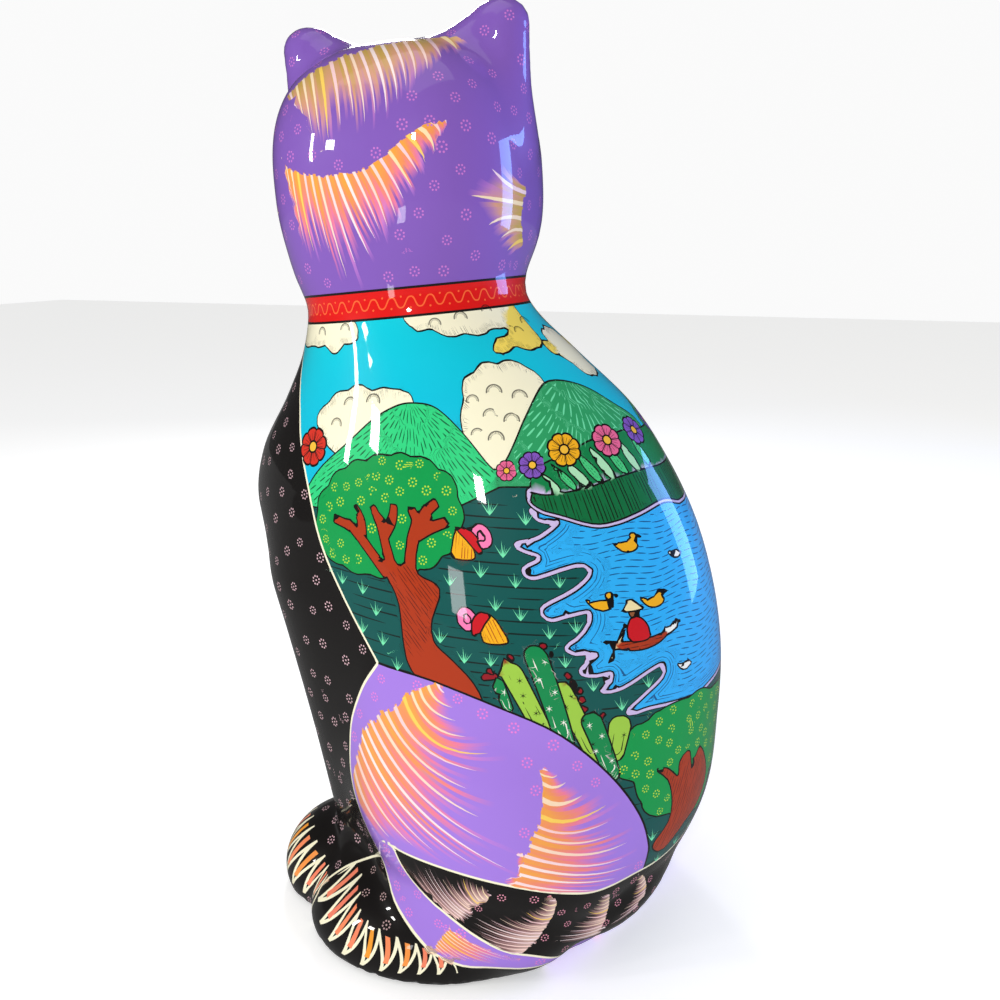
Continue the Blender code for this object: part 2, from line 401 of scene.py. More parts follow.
def curve(points, closed=False, steps=6):
    """A smooth line through the points."""
    points = np.array(points, float)
    if closed:
        ends = points[-1:], points[:2]
    else:
        ends = 2 * points[:1] - points[1:2], 2 * points[-1:] - points[-2:-1]
    p = np.concatenate([ends[0], points, ends[1]])
    t = np.arange(steps)[:, None, None] / steps
    a, b, c, d = p[:-3], p[1:-2], p[2:-1], p[3:]
    line = 0.5 * (2 * b + (c - a) * t + (2 * a - 5 * b + 4 * c - d) * t**2
                  + (3 * b - a - 3 * c + d) * t**3)
    line = line.transpose(1, 0, 2).reshape(-1, points.shape[1])
    return line if closed else np.concatenate([line, points[-1:]])


def to_line(points, line):
    """Distance from the points to a line, how far along it the nearest place is, and its side."""
    best = np.full(len(points), HUGE)
    along = np.zeros(len(points))
    side = np.ones(len(points))
    passed = 0
    for start, end in zip(line[:-1], line[1:]):
        piece = end - start
        length = math.hypot(*piece)
        if length < TINY:
            continue
        share = np.clip((points - start) @ piece / length**2, 0, 1)
        distance = np.linalg.norm(points - start - share[:, None] * piece, axis=1)
        nearer = distance < best
        best[nearer] = distance[nearer]
        along[nearer] = passed + share[nearer] * length
        offset = points[nearer] - start
        side[nearer] = np.where(piece[0] * offset[:, 1] > piece[1] * offset[:, 0], 1, -1)
        passed += length
    return best, along, side


def inside(points, ring):
    result = np.zeros(len(points), bool)
    for (ax, ay), (bx, by) in zip(ring, np.roll(ring, -1, axis=0)):
        if ay == by:
            continue
        crosses = (ay > points[:, 1]) != (by > points[:, 1])
        result ^= crosses & (points[:, 0] < (bx - ax) * (points[:, 1] - ay) / (by - ay) + ax)
    return result


def signed(points, ring):
    distance, _, _ = to_line(points, np.concatenate([ring, ring[:1]]))
    return np.where(inside(points, ring), -distance, distance)


def colour(red, green, blue):
    """A colour given as it looks on a screen, in the linear values that shaders take."""
    share = np.array([red, green, blue]) / 255
    return np.where(share < 0.04045, share / 12.92, ((share + 0.055) / 1.055) ** 2.4)


BLACK = colour(22, 19, 18)
CREAM = colour(252, 246, 214)
CLOUD_GOLD = colour(250, 222, 96)
SPRING_GREEN = colour(48, 212, 130)
LEAF_GREEN = colour(6, 156, 76)
HILL_GREEN = colour(46, 160, 100)
FIELD_TEAL = colour(16, 88, 84)
BANK_GREEN = colour(14, 112, 62)
DARK_GREEN = colour(12, 84, 48)
WATER_BLUE = colour(46, 178, 248)
BARK = colour(176, 56, 22)
CACTUS_LIGHT = colour(160, 205, 72)
CACTUS_DARK = colour(18, 140, 78)
FRUIT_RED = colour(150, 22, 34)
PINK = colour(250, 128, 182)
LILAC = colour(208, 190, 232)
LEAF_PALE = colour(176, 230, 186)
LEAF_LIGHT = colour(74, 206, 128)
BED_GREEN = colour(14, 130, 72)
GOLD = colour(245, 178, 30)
ROSE = colour(236, 104, 150)
PURPLE = colour(132, 86, 190)
POPPY = colour(214, 50, 34)
COAT_RED = colour(206, 24, 36)
STRAW = colour(244, 226, 170)
WHITE = colour(250, 248, 240)
HEAD_PURPLE = colour(132, 92, 186)
THIGH_PURPLE = colour(166, 126, 226)
COLLAR_RED = colour(226, 18, 16)
MINT = colour(120, 235, 178)
SKIN = colour(150, 92, 56)
DEEP_BLUE = colour(20, 60, 120)
SKY_LOW = colour(0, 190, 222)
SKY_HIGH = colour(0, 206, 222)


# The layers of the painting, from the furthest to the nearest.
LAYERS = ("far", "hills", "land", "water", "near", "props", "details")
FACE_LAYERS = ("mask", "face", "iris")
BEACH = 1.5             # width of the pale band along the shore
FAR = 40.0              # distance to a shape where none is near
OUT_OF_FAN = -20.0
MARGIN = 4.0            # how far outside a ring its distance is worked out
COVER = 0.5             # how far outside a ring older strokes end
STROKE_EDGE = -0.4      # how far inside a ring its own strokes end


class Paint:
    """What is painted at each corner of the mesh: layers of shapes, strokes, motifs and fans."""

    def __init__(self, points, normals, tree):
        count = len(points)
        self.points, self.normals, self.tree = points, normals, tree
        self.places = chart(points)
        self.layers = {name: np.tile((*BLACK, FAR), (count, 1)) for name in LAYERS + FACE_LAYERS}
        self.strokes = np.zeros((count, 3))
        self.ink = np.zeros((count, 4))
        self.fan = np.tile((0, -1, OUT_OF_FAN, 0), (count, 1)).astype(float)
        self.motifs = []

    def on_chart(self, pixels):
        return chart(seen(pixels, self.tree))

    def lay(self, layer, near, distance, tint):
        """Gives a tint and its distance to the corners that no shape of the layer is closer to."""
        rows = self.layers[layer]
        closer = distance < rows[near, 3]
        rows[near[closer], :3] = tint
        rows[near[closer], 3] = distance[closer]

    def shape(self, layer, ring, tint, strokes=None, ink=None, grow=0):
        """Fills a ring on the chart, and gives it rows of strokes in an ink."""
        low, high = ring.min(0) - MARGIN, ring.max(0) + MARGIN
        near = np.flatnonzero(((self.places > low) & (self.places < high)).all(1))
        distance = signed(self.places[near], ring) - grow
        self.lay(layer, near, distance, tint)
        covered = distance < COVER
        self.strokes[near[covered], 2] = 0
        if strokes:
            places = self.places[near[covered]]
            self.strokes[near[covered]] = strokes(places, distance[covered], ring)
            self.strokes[near[covered], 2] *= distance[covered] < STROKE_EDGE
            self.ink[near[covered]] = ink

    def face_shape(self, layer, ring, tint, facing, places):
        near = np.flatnonzero(facing)
        self.lay(layer, near, signed(places[near], ring), tint)


def level_rows(spacing, length, width, rise=0):
    """Strokes round the body, in rows that climb by rise."""
    def strokes(places, distance, ring):
        across = (places[:, 1] - rise * places[:, 0]) / spacing
        return np.stack([across, places[:, 0] / length, np.full(len(places), width)], axis=1)
    return strokes


def upright_rows(spacing, length, width, lean=0):
    def strokes(places, distance, ring):
        across = (places[:, 0] + lean * places[:, 1]) / spacing
        return np.stack([across, places[:, 1] / length, np.full(len(places), width)], axis=1)
    return strokes


SPREAD_REACH = 6        # from a peak, where the spread strokes first double in number


def spread_rows(peak, spacing, length, width):
    """Strokes that run down a mountain from its peak."""
    def strokes(places, distance, ring):
        offset = places - peak
        reach = np.hypot(*offset.T)
        turn = np.arctan2(offset[:, 0], -offset[:, 1])
        level = np.floor(np.log2(np.maximum(reach, SPREAD_REACH) / SPREAD_REACH))
        across = turn * SPREAD_REACH * 2**level / spacing
        return np.stack([across, reach / length, np.full(len(places), width)], axis=1)
    return strokes


BARE_END = 1.8          # length without strokes at the end of a line
FIRST_ROW = 30          # keeps the numbers of the rows on both sides of a line above zero


def rows_along(line, spacing, length, width):
    """Strokes that follow a line, such as bark on a trunk."""
    def strokes(places, distance, ring):
        offset, along, side = to_line(places, line)
        whole = np.linalg.norm(np.diff(line, axis=0), axis=1).sum()
        full = np.where(along < whole - BARE_END, width, 0)
        return np.stack([side * offset / spacing + FIRST_ROW, along / length, full], axis=1)
    return strokes


TICK_GAP, TICK_LENGTH, TICK_WIDTH = 0.95, 2.2, 0.17


def cloud_ticks(places, distance, ring):
    """Short ticks inside a cloud's rim."""
    _, along, _ = to_line(places, np.concatenate([ring, ring[:1]]))
    width = np.where(distance > -TICK_LENGTH, TICK_WIDTH, 0)
    return np.stack([along / TICK_GAP, np.full(len(places), 0.5), width], axis=1)


# Lines on the water: how near the shore they follow it, and then, near the shore and on open
# water, the gap between them, their length and their width.
FOLLOW_SHORE = 5.5
WATER_GAPS = (1.25, 2.3)
WATER_LENGTHS = (30, 7)
WATER_WIDTHS = (0.13, 0.1)
SWELL_HEIGHT, SWELL_ACROSS, SWELL_UP = 0.9, 5, 9


def ripples(places, distance, ring):
    """Dashes on open water, and rings that follow the shore near it."""
    x, y = places.T
    near_shore = distance > -FOLLOW_SHORE
    swell = SWELL_HEIGHT * np.sin(x / SWELL_ACROSS + y / SWELL_UP)
    across = np.where(near_shore, distance / WATER_GAPS[0], (y + swell) / WATER_GAPS[1])
    along = np.where(near_shore, (x + y) / WATER_LENGTHS[0], x / WATER_LENGTHS[1])
    return np.stack([across, along, np.where(near_shore, *WATER_WIDTHS)], axis=1)


# The picture's outlines, in pixels of the camera's picture, and in chart millimetres where the
# camera doesn't see them.
CHEST_LINE = [(304, 345), (300, 400), (305, 470), (320, 540), (345, 600), (378, 663)]
THIGH_FRONT = [(378, 663), (362, 688), (352, 718), (350, 750), (352, 780), (360, 810), (381, 857)]
PAW_ARCH = [(381, 856), (359, 861), (337, 872), (323, 884), (316, 897)]
FOOT_LINE = [(540, 966), (500, 968), (470, 967), (451, 962), (432, 952), (413, 931), (394, 899)]
THIGH_TOP = [(378, 663), (430, 680), (500, 708), (560, 735), (610, 775), (640, 815), (649, 848)]
TAIL_TOP = [(381, 840), (390, 845), (440, 867), (505, 885), (560, 893), (600, 890), (650, 865), (680, 838),
            (696, 812)]
TAIL_LOW = [(560, 956), (535, 956), (507, 952), (477, 937), (451, 918), (423, 893), (402, 866), (392, 844)]
TAIL_BACK = [(0, 62), (-30, 68), (-60, 64), (-76, 52), (-74, 40), (-60, 28), (-30, 16), (0, 6), (40, 3)]
CLOUD_LEFT = [(300, 322), (330, 318), (352, 320), (357, 334), (344, 344), (333, 350), (322, 344), (305, 342)]
CLOUD_MIDDLE = [(406, 312), (450, 306), (500, 298), (548, 296), (536, 308), (505, 322), (480, 331),
                (450, 333), (428, 328), (412, 326)]
CLOUD_RIGHT = [(500, 310), (530, 300), (560, 322), (580, 336), (560, 340), (535, 346), (512, 346),
               (494, 352), (500, 342), (512, 330)]
CLOUD_NEAR = [(322, 432), (319, 418), (330, 402), (346, 392), (362, 388), (376, 393), (394, 390),
              (412, 402), (392, 425), (350, 460), (332, 446)]
CLOUD_TALL = [(466, 440), (464, 400), (468, 380), (484, 367), (505, 364), (526, 367), (542, 384),
              (534, 410), (510, 460), (492, 480)]
BACK_CLOUD = [(14, 268), (5, 272), (-8, 270), (-8, 257), (5, 254), (13, 260)]
# Puffs drawn inside the clouds: place and radius in pixels.
PUFFS = [
    (496, 393, 9), (520, 396, 9), (474, 402, 7), (491, 417, 8), (511, 419, 9), (476, 432, 7),
    (498, 440, 9), (350, 405, 9), (374, 402, 9), (337, 424, 8), (362, 428, 9), (394, 406, 7),
    (322, 331, 8), (345, 329, 7), (433, 321, 7), (460, 318, 8), (487, 313, 7), (546, 318, 8), (522, 334, 7),
]
HILL_NEAR = [(285, 530), (306, 490), (322, 466), (345, 445), (372, 420), (396, 406), (415, 403), (436, 408),
             (460, 430), (486, 462), (504, 486), (500, 540)]
HILL_NEAR_PEAK = (408, 396)
HILL_FAR = [(480, 500), (505, 462), (524, 420), (540, 388), (556, 380), (584, 386), (612, 402),
            (640, 424), (664, 446), (680, 480)]
HILL_FAR_PEAK = (560, 372)
LAND_BACK = [(215, 205), (193, 200), (150, 204), (110, 206)]
LAND_TOP = [(500, 487), (530, 487), (600, 492), (690, 480)]
LAND_END = [(-8, 212), (-8, 30), (215, 30)]
SHORE = [(533, 512), (541, 519), (561, 522), (540, 540), (518, 546), (539, 554), (540, 562), (526, 570),
         (533, 576), (562, 567), (580, 563), (592, 568), (590, 579), (574, 593), (545, 609), (550, 618),
         (567, 614), (589, 610), (592, 622), (582, 638), (569, 648), (576, 652), (592, 651), (599, 656),
         (583, 671), (594, 674), (612, 671), (613, 682), (604, 690), (622, 686), (650, 668), (664, 662),
         (665, 676), (645, 697), (630, 712), (650, 706), (676, 700), (698, 692)]
SHORE_END = [(14, 126), (-8, 128), (-8, 214), (10, 208)]
BANK = [(530, 492), (531, 502), (542, 510), (560, 515), (594, 524), (616, 521), (636, 513), (662, 499),
        (684, 492)]
BANK_END = [(-8, 202), (-8, 217)]
BANK_TOP = [(660, 464), (640, 470), (612, 479), (590, 487), (568, 492), (546, 495), (530, 492)]
FLOWER_BED = [(530, 492), (531, 470), (560, 455), (590, 440), (622, 430)]
BED_END = [(6, 232), (-8, 232), (-8, 216)]
BED_BASE = [(655, 468), (640, 472), (600, 485), (560, 494)]
TREE_CROWN = [(322, 545), (318, 520), (321, 500), (332, 482), (344, 470), (360, 463), (380, 458), (400, 457),
              (420, 460), (436, 468), (450, 480), (458, 500), (460, 522), (452, 545), (436, 560), (410, 572),
              (380, 574), (350, 568), (334, 558)]
TREE_TRUNK = [(385, 572), (398, 600), (403, 640), (410, 668), (432, 690), (480, 706), (474, 684), (452, 660),
              (434, 642), (432, 620), (440, 596), (436, 584), (418, 574), (413, 556), (400, 566), (388, 556)]
BRANCHES = [
    [(388, 575), (368, 548), (352, 528), (334, 518)],
    [(362, 540), (361, 520), (354, 506)],
    [(392, 570), (386, 546), (380, 524), (372, 506)],
    [(383, 536), (392, 520), (394, 504)],
    [(410, 566), (412, 540), (416, 520), (408, 504)],
    [(414, 536), (430, 528), (450, 521)],
    [(420, 526), (426, 512), (437, 502)],
]
BRANCH_WIDTHS = (2.7, 1.755)
LOW_CROWN = [(608, 762), (622, 742), (634, 728), (648, 726), (658, 712), (676, 706), (696, 694), (716, 686)]
LOW_CROWN_END = [(-8, 118), (-8, 76)]
LOW_CROWN_BASE = [(716, 770), (700, 804), (650, 812), (644, 800), (634, 782), (618, 772)]
LOW_TRUNK = [(652, 846), (668, 822), (672, 800), (668, 780), (656, 770), (668, 768), (678, 776), (680, 760),
             (690, 750), (692, 770), (700, 745), (706, 770), (698, 800), (684, 822), (662, 850)]
# Cacti: foot and top in pixels, width in millimetres and kind.
CACTI = [
    ((507, 706), (498, 684), 5, "dark"),
    ((538, 722), (512, 674), 9, "light"),
    ((562, 732), (536, 657), 9, "dark"),
    ((592, 750), (562, 692), 8, "light"),
    ((610, 768), (592, 722), 8, "dark"),
    ((616, 750), (620, 726), 9, "light"),
]
FRUITS = [(484, 677), (490, 672), (495, 676), (504, 662), (510, 658), (543, 646), (549, 654), (547, 662),
          (568, 676), (574, 683), (579, 691), (582, 700), (584, 709), (597, 713), (603, 716)]
# Flowers: place in pixels, radius in millimetres and colour.
FLOWERS = [(506, 472, 4.3, ROSE), (531, 463, 5.7, PURPLE), (567, 449, 7.3, GOLD), (603, 436, 7.5, ROSE),
           (632, 426, 7, PURPLE), (314, 448, 8.6, POPPY)]
# Leaves: foot and tip in pixels.
LEAVES = [
    (562, 494, 540, 472), (577, 490, 551, 464), (591, 487, 560, 458),
    (603, 483, 574, 450), (615, 479, 586, 444), (628, 475, 600, 440), (640, 471, 614, 436),
    (652, 467, 628, 434),
]
DUCKS = [(628, 545), (676, 552), (603, 604), (686, 664), (655, 600), (672, 628)]
BOAT = (640, 640)
# Field workers: place in pixels and the side that they bend to.
WORKERS = [(470, 548, 1), (484, 632, -1)]
# Shapes in millimetres from a figure's place, and a leaf's edge in shares of its length and width.
LEAF_EDGE = [(0, 0.5), (0.3, 1), (0.6, 0.85), (0.82, 0.4), (1, 0), (0.82, -0.4), (0.6, -0.85), (0.3, -1),
             (0, -0.5)]
LEAF_WIDTH = 0.15
FRUIT_SIZE = (1.5, 1.5)
DUCK_BODY = [(-3.4, 0.4), (-2.6, -1.6), (0.4, -2.4), (3.2, -1.4), (5.2, 1.8), (2.6, 1.1), (0, 1.2)]
DUCK_HEAD = ((-2.9, 2.4), (1.45, 1.35))
DUCK_BEAK = [(-6.2, 2.2), (-4.0, 3.0), (-4.0, 1.6)]
DUCK_LOOKS = [(1.15, GOLD), (0.85, WHITE)]
SKIRT = [(-1, -4), (8.5, -4), (7.5, 1), (5, 6), (1.5, 7), (-0.5, 3)]
WORK_COAT = [(0, 7.5), (4, 6.5), (1, 3), (-3, -2), (-5, -1.5), (-4, 4)]
BRIM = ((-6, 4.5), (4.4, 4.8))
HAT_TOP = ((-6, 4.7), (1.7, 2))
HULL = [(-14, 1.5), (-8, -2.5), (0, -4), (8, -2.5), (14, 1.5), (7, 0.5), (0, 0), (-7, 0.5)]
ROWER_COAT = [(-4, 0), (-4.5, 5), (-2, 9), (1.5, 9), (4, 5), (3.5, 0)]
ROWER_HEAD = ((-0.3, 11), (2.1, 2.4))
STRAW_HAT = [(-5.5, 12.2), (0, 11.6), (5, 12.2), (2.6, 13.4), (1.6, 16), (-2.2, 16), (-3, 13.4)]
OAR = ((4, 7), (13, -7), 0.6)
# Strokes: the gap between rows, their length, their width and, for some, their slope.
FAR_HILL_STROKES = (1.5, 9, 0.13)
NEAR_HILL_STROKES = (1.35, 7, 0.15)
FIELD_STROKES = (4.4, 55, 0.075, 0.05)
BANK_STROKES = (1.5, 40, 0.17)
LEAF_STROKES = (1.1, 1.2, 0.2)
BARK_STROKES = (1.5, 14, 0.13)
SKIRT_STROKES = (1.4, 30, 0.13)
SKIRT_LEAN = 0.3
HULL_STROKES = (1.5, 20, 0.12)
RIB_LENGTH, RIB_WIDTH = 60, 0.1
SOFT_INK = (*BLACK, 0.75)
FIRM_INK = (*BLACK, 0.85)
# Bumps on the edges of clouds and crowns: how high and how many.
CLOUD_BUMPS = (1.6, 9)
BACK_CLOUD_BUMPS = (1.6, 7)
CROWN_BUMPS = (1.8, 15)
CALM_SHORE = 3          # how far from the shore the land keeps free of strokes


def mounded(ring, swell, bumps):
    """A ring whose edge swells in bumps, such as a crown's or a cloud's."""
    line = np.concatenate([ring, ring[:1]])
    step = np.linalg.norm(np.diff(line, axis=0), axis=1)
    along = np.concatenate([[0], np.cumsum(step)])[:-1] / step.sum()
    normal = np.stack([np.roll(ring[:, 1], -1) - np.roll(ring[:, 1], 1),
                       np.roll(ring[:, 0], 1) - np.roll(ring[:, 0], -1)], axis=1)
    normal /= np.maximum(np.linalg.norm(normal, axis=1), TINY)[:, None]
    outward = np.sign(signed(ring + normal * 0.5, ring))[:, None]
    lift = np.abs(np.sin(np.pi * bumps * along))[:, None]
    return ring + normal * outward * swell * lift


def bar(start, end, radii, samples=10):
    """The ring round a bar with round ends, wider at one end where the radii differ."""
    start, end = np.array(start, float), np.array(end, float)
    turn = math.atan2(*(end - start)[::-1])
    ring = []
    for centre, radius, first in ((end, radii[1], -math.pi / 2), (start, radii[0], math.pi / 2)):
        angles = turn + first + np.linspace(0, math.pi, samples)
        ring.append(centre + radius * np.stack([np.cos(angles), np.sin(angles)], axis=1))
    return np.concatenate(ring)


def disc(centre, radii, samples=20):
    angles = np.linspace(0, 2 * math.pi, samples, endpoint=False)
    return np.array(centre) + np.stack([radii[0] * np.cos(angles), radii[1] * np.sin(angles)], axis=1)


def paint_sky(paint):
    for cloud in (CLOUD_LEFT, CLOUD_MIDDLE, CLOUD_RIGHT, CLOUD_NEAR, CLOUD_TALL):
        ring = curve(paint.on_chart(cloud), closed=True)
        tint = CLOUD_GOLD if cloud is CLOUD_RIGHT else CREAM
        paint.shape("far", mounded(ring, *CLOUD_BUMPS), tint, cloud_ticks, SOFT_INK)
    back_cloud = curve(BACK_CLOUD, closed=True)
    paint.shape("far", mounded(back_cloud, *BACK_CLOUD_BUMPS), CREAM, cloud_ticks, SOFT_INK)


def paint_hills(paint):
    for outline, top, tint, rows, ink in (
            (HILL_FAR, HILL_FAR_PEAK, HILL_GREEN, FAR_HILL_STROKES, (*MINT, 0.85)),
            (HILL_NEAR, HILL_NEAR_PEAK, SPRING_GREEN, NEAR_HILL_STROKES, (*DARK_GREEN, 0.9))):
        peak = paint.on_chart([top])[0]
        ring = curve(paint.on_chart(outline), closed=True)
        paint.shape("hills", ring, tint, spread_rows(peak, *rows), ink)


def paint_land(paint):
    ring = np.concatenate([LAND_BACK, paint.on_chart(LAND_TOP), LAND_END])
    paint.shape("land", ring, FIELD_TEAL, level_rows(*FIELD_STROKES), FIRM_INK)
    shore = np.concatenate([curve(paint.on_chart(SHORE)), SHORE_END])
    paint.shape("water", shore, WATER_BLUE, ripples, (*DEEP_BLUE, 0.85))
    around = to_line(paint.places, shore)[0] < CALM_SHORE
    paint.strokes[around & ~inside(paint.places, shore), 2] = 0


def paint_bank(paint):
    bed = np.concatenate([paint.on_chart(FLOWER_BED), BED_END, paint.on_chart(BED_BASE)])
    paint.shape("near", bed, BED_GREEN)
    for number, (base_x, base_y, tip_x, tip_y) in enumerate(LEAVES):
        base, tip = paint.on_chart([(base_x, base_y), (tip_x, tip_y)])
        along = tip - base
        side = np.array([-along[1], along[0]]) * LEAF_WIDTH
        leaf = np.array([base + up * along + out * side for up, out in LEAF_EDGE])
        if number % 2:
            veins = rows_along(np.array([base, tip]), *LEAF_STROKES)
            paint.shape("details", leaf, LEAF_LIGHT, veins, (*BANK_GREEN, 0.8))
        else:
            paint.shape("props", leaf, LEAF_PALE)
    edge = curve(paint.on_chart(BANK))
    top = curve(paint.on_chart(BANK_TOP))
    ring = np.concatenate([edge, BANK_END, top])
    paint.shape("near", ring, LILAC, grow=BEACH)
    paint.shape("props", ring, BANK_GREEN, upright_rows(*BANK_STROKES), (*BLACK, 0.9))


def paint_trees(paint):
    low = np.concatenate([curve(paint.on_chart(LOW_CROWN)), LOW_CROWN_END,
                          curve(paint.on_chart(LOW_CROWN_BASE))])
    for crown in (curve(paint.on_chart(TREE_CROWN), closed=True), low):
        paint.shape("near", mounded(crown, *CROWN_BUMPS), LEAF_GREEN)
    for trunk in (TREE_TRUNK, LOW_TRUNK):
        ring = curve(paint.on_chart(trunk), closed=True, steps=3)
        middle = np.array([ring[0], ring[len(ring) // 2]])
        paint.shape("props", ring, BARK, rows_along(middle, *BARK_STROKES), SOFT_INK)
    for branch in BRANCHES:
        paint.shape("props", stroke_ring(curve(paint.on_chart(branch)), BRANCH_WIDTHS), BARK)


CACTUS_LOOKS = {"dark": ("details", CACTUS_DARK, WHITE), "light": ("props", CACTUS_LIGHT, BLACK)}
CACTUS_SINK = 0.15      # share of a cactus that goes on below its foot
CACTUS_FOOT = 0.8       # width of a cactus at its foot, as a share of its width at the top


def paint_cacti(paint):
    for foot, top, width, kind in CACTI:
        foot, top = paint.on_chart([foot, top])
        layer, tint, ink = CACTUS_LOOKS[kind]
        half = width / 2
        ring = bar(foot - CACTUS_SINK * (top - foot), top, (half * CACTUS_FOOT, half))
        ribs = rows_along(np.array([foot, top]), half * CACTUS_FOOT, RIB_LENGTH, RIB_WIDTH)
        paint.shape(layer, ring, tint, ribs, (*ink, 0.9))
    for number, centre in enumerate(paint.on_chart(FRUITS)):
        paint.shape(("near", "props")[number % 2], disc(centre, FRUIT_SIZE), FRUIT_RED)


def paint_duck(paint, centre, size, tint):
    for layer, ring, shade in (("props", curve(DUCK_BODY, closed=True), tint),
                               ("props", disc(*DUCK_HEAD), tint),
                               ("details", np.array(DUCK_BEAK), BARK)):
        paint.shape(layer, ring * size + centre, shade)


def paint_worker(paint, centre, side):
    """A field worker of no likeness, bent over, with a round hat and a long skirt."""
    lean = SKIRT_LEAN * side
    for layer, ring, tint, strokes in (
            ("props", curve(SKIRT, closed=True), GOLD, upright_rows(*SKIRT_STROKES, lean)),
            ("details", curve(WORK_COAT, closed=True), COAT_RED, None),
            ("near", disc(*BRIM), PINK, None),
            ("props", disc(*HAT_TOP), PINK, None)):
        paint.shape(layer, ring * (side, 1) + centre, tint, strokes, (*BARK, 1))


def paint_boat(paint, centre):
    """A rowing boat with one rower of no likeness under a straw hat."""
    start, end, half = OAR
    for layer, ring, tint, strokes in (
            ("props", curve(HULL, closed=True), BARK, level_rows(*HULL_STROKES)),
            ("details", curve(ROWER_COAT, closed=True), COAT_RED, None),
            ("near", disc(*ROWER_HEAD), SKIN, None),
            ("details", curve(STRAW_HAT, closed=True, steps=3), STRAW, None),
            ("props", bar(start, end, (half, half)), STRAW, None)):
        paint.shape(layer, ring + centre, tint, strokes, (*BLACK, 0.8))


def stroke_ring(line, widths):
    """The ring of a stroke along a line, with its half width at the start and at the end."""
    heading = np.gradient(line, axis=0)
    side = np.stack([-heading[:, 1], heading[:, 0]], axis=1)
    side /= np.linalg.norm(side, axis=1)[:, None]
    side *= np.linspace(*widths, len(line))[:, None]
    return np.concatenate([line + side, (line - side)[::-1]])


# The face, in millimetres of the head's own frame: from its middle outward, and up.
EYE_MASK = [(7, 3), (13, 15), (24, 20), (36, 17), (37, 8), (29, -2), (16, -4)]
EYE_RING = [(12, 3.5), (17, 10.5), (24, 13.5), (31.5, 13), (31, 7), (25, 1.5), (17, 0.5)]
PUPIL = ((22.5, 7.5), (3, 5.8))
# A painted highlight in each eye, a white dot: its place across and up, and its size.
EYE_HIGHLIGHT_DOT = (24.1, 10.1, 1.7)
LID = [(11, 3), (16.5, 11), (24, 14.6), (34.5, 14.8)]
NOSE_RING = [(0, -4.5), (6, -4), (7.5, -7), (3, -11.5), (0, -12.5)]
MUZZLE_RING = [(0, -10), (8, -8), (18, -11), (22, -19), (17, -26), (8, -28.5), (0, -29)]
MOUTH = [(0, -12), (0, -18), (4, -22.5), (10, -23.5), (15, -20.5)]
EAR_RING = [(27, 33), (30, 46), (43, 62), (49, 60), (50, 46), (46, 36), (36, 31)]
FACE_FOOT = -36
LID_WIDTHS = (0.5, 1.2)
MOUTH_WIDTHS = (0.55, 0.5)
WHISKER_DOT = 0.95
WHISKER_DOTS = [(9, -15.5), (13.5, -14), (9.5, -19.5), (14, -18), (18, -16.5)]
EYE_GREEN = colour(206, 214, 58)
NOSE_PINK = colour(240, 130, 160)
EAR_PINK = colour(236, 150, 186)
MASK_LILAC = colour(214, 186, 236)


def paint_face(paint):
    """A plain painted face on the side that the camera doesn't see."""
    head_points = in_head(paint.points)
    places = np.stack([np.abs(head_points[:, 1]), head_points[:, 2]], axis=1)
    facing = (head_points[:, 0] > FACE_START) & (head_points[:, 2] > FACE_FOOT)
    half_nose = np.array(NOSE_RING, float)
    half_muzzle = np.array(MUZZLE_RING, float)
    closed_nose, closed_muzzle = [np.concatenate([half, (half * (-1, 1))[::-1]])
                                  for half in (half_nose, half_muzzle)]
    for layer, ring, tint in (
            ("mask", curve(EYE_MASK, closed=True), MASK_LILAC),
            ("mask", curve(closed_muzzle, closed=True, steps=3), MASK_LILAC),
            ("mask", curve(EAR_RING, closed=True), EAR_PINK),
            ("face", curve(EYE_RING, closed=True), EYE_GREEN),
            ("face", curve(closed_nose, closed=True, steps=3), NOSE_PINK),
            ("iris", disc(*PUPIL), BLACK),
            ("iris", stroke_ring(curve(LID), LID_WIDTHS), BLACK),
            ("iris", stroke_ring(curve(MOUTH), MOUTH_WIDTHS), BLACK)):
        paint.face_shape(layer, ring, tint, facing, places)


def paint_picture(paint):
    paint_sky(paint)
    paint_hills(paint)
    paint_land(paint)
    paint_bank(paint)
    paint_trees(paint)
    paint_cacti(paint)
    for index, duck in enumerate(paint.on_chart(DUCKS)):
        paint_duck(paint, duck, *DUCK_LOOKS[index % 2])
    for column, row, side in WORKERS:
        paint_worker(paint, paint.on_chart([(column, row)])[0], side)
    paint_boat(paint, paint.on_chart([BOAT])[0])


# Fans of brush strokes. Rows: stroke, then the pixels of its start, its middle and its tip.
THIGH_FAN = [
    (1, 437, 681, 441, 690, 449, 695),
    (3, 419, 688, 434, 711, 463, 722),
    (5, 403, 694, 435, 742, 491, 753),
    (6, 394, 704, 430, 752, 497, 774),
    (8, 376, 712, 422, 779, 486, 820),
    (10, 364, 723, 418, 808, 507, 869),
    (12, 358, 741, 394, 811, 451, 863),
    (14, 354, 767, 368, 808, 394, 842),
]
HIP_FAN = [
    (1, 537, 766, 546, 770, 551, 770),
    (3, 542, 783, 556, 787, 568, 780),
    (5, 540, 816, 570, 821, 608, 804),
    (7, 532, 834, 579, 843, 628, 826),
    (9, 522, 855, 582, 866, 631, 854),
    (12, 510, 881, 559, 890, 612, 888),
]
HEEL_FAN = [
    (1, 448, 927, 480, 948, 522, 961),
    (4, 443, 934, 466, 951, 500, 963),
    (7, 438, 940, 455, 955, 478, 964),
    (9, 434, 945, 443, 953, 452, 959),
]
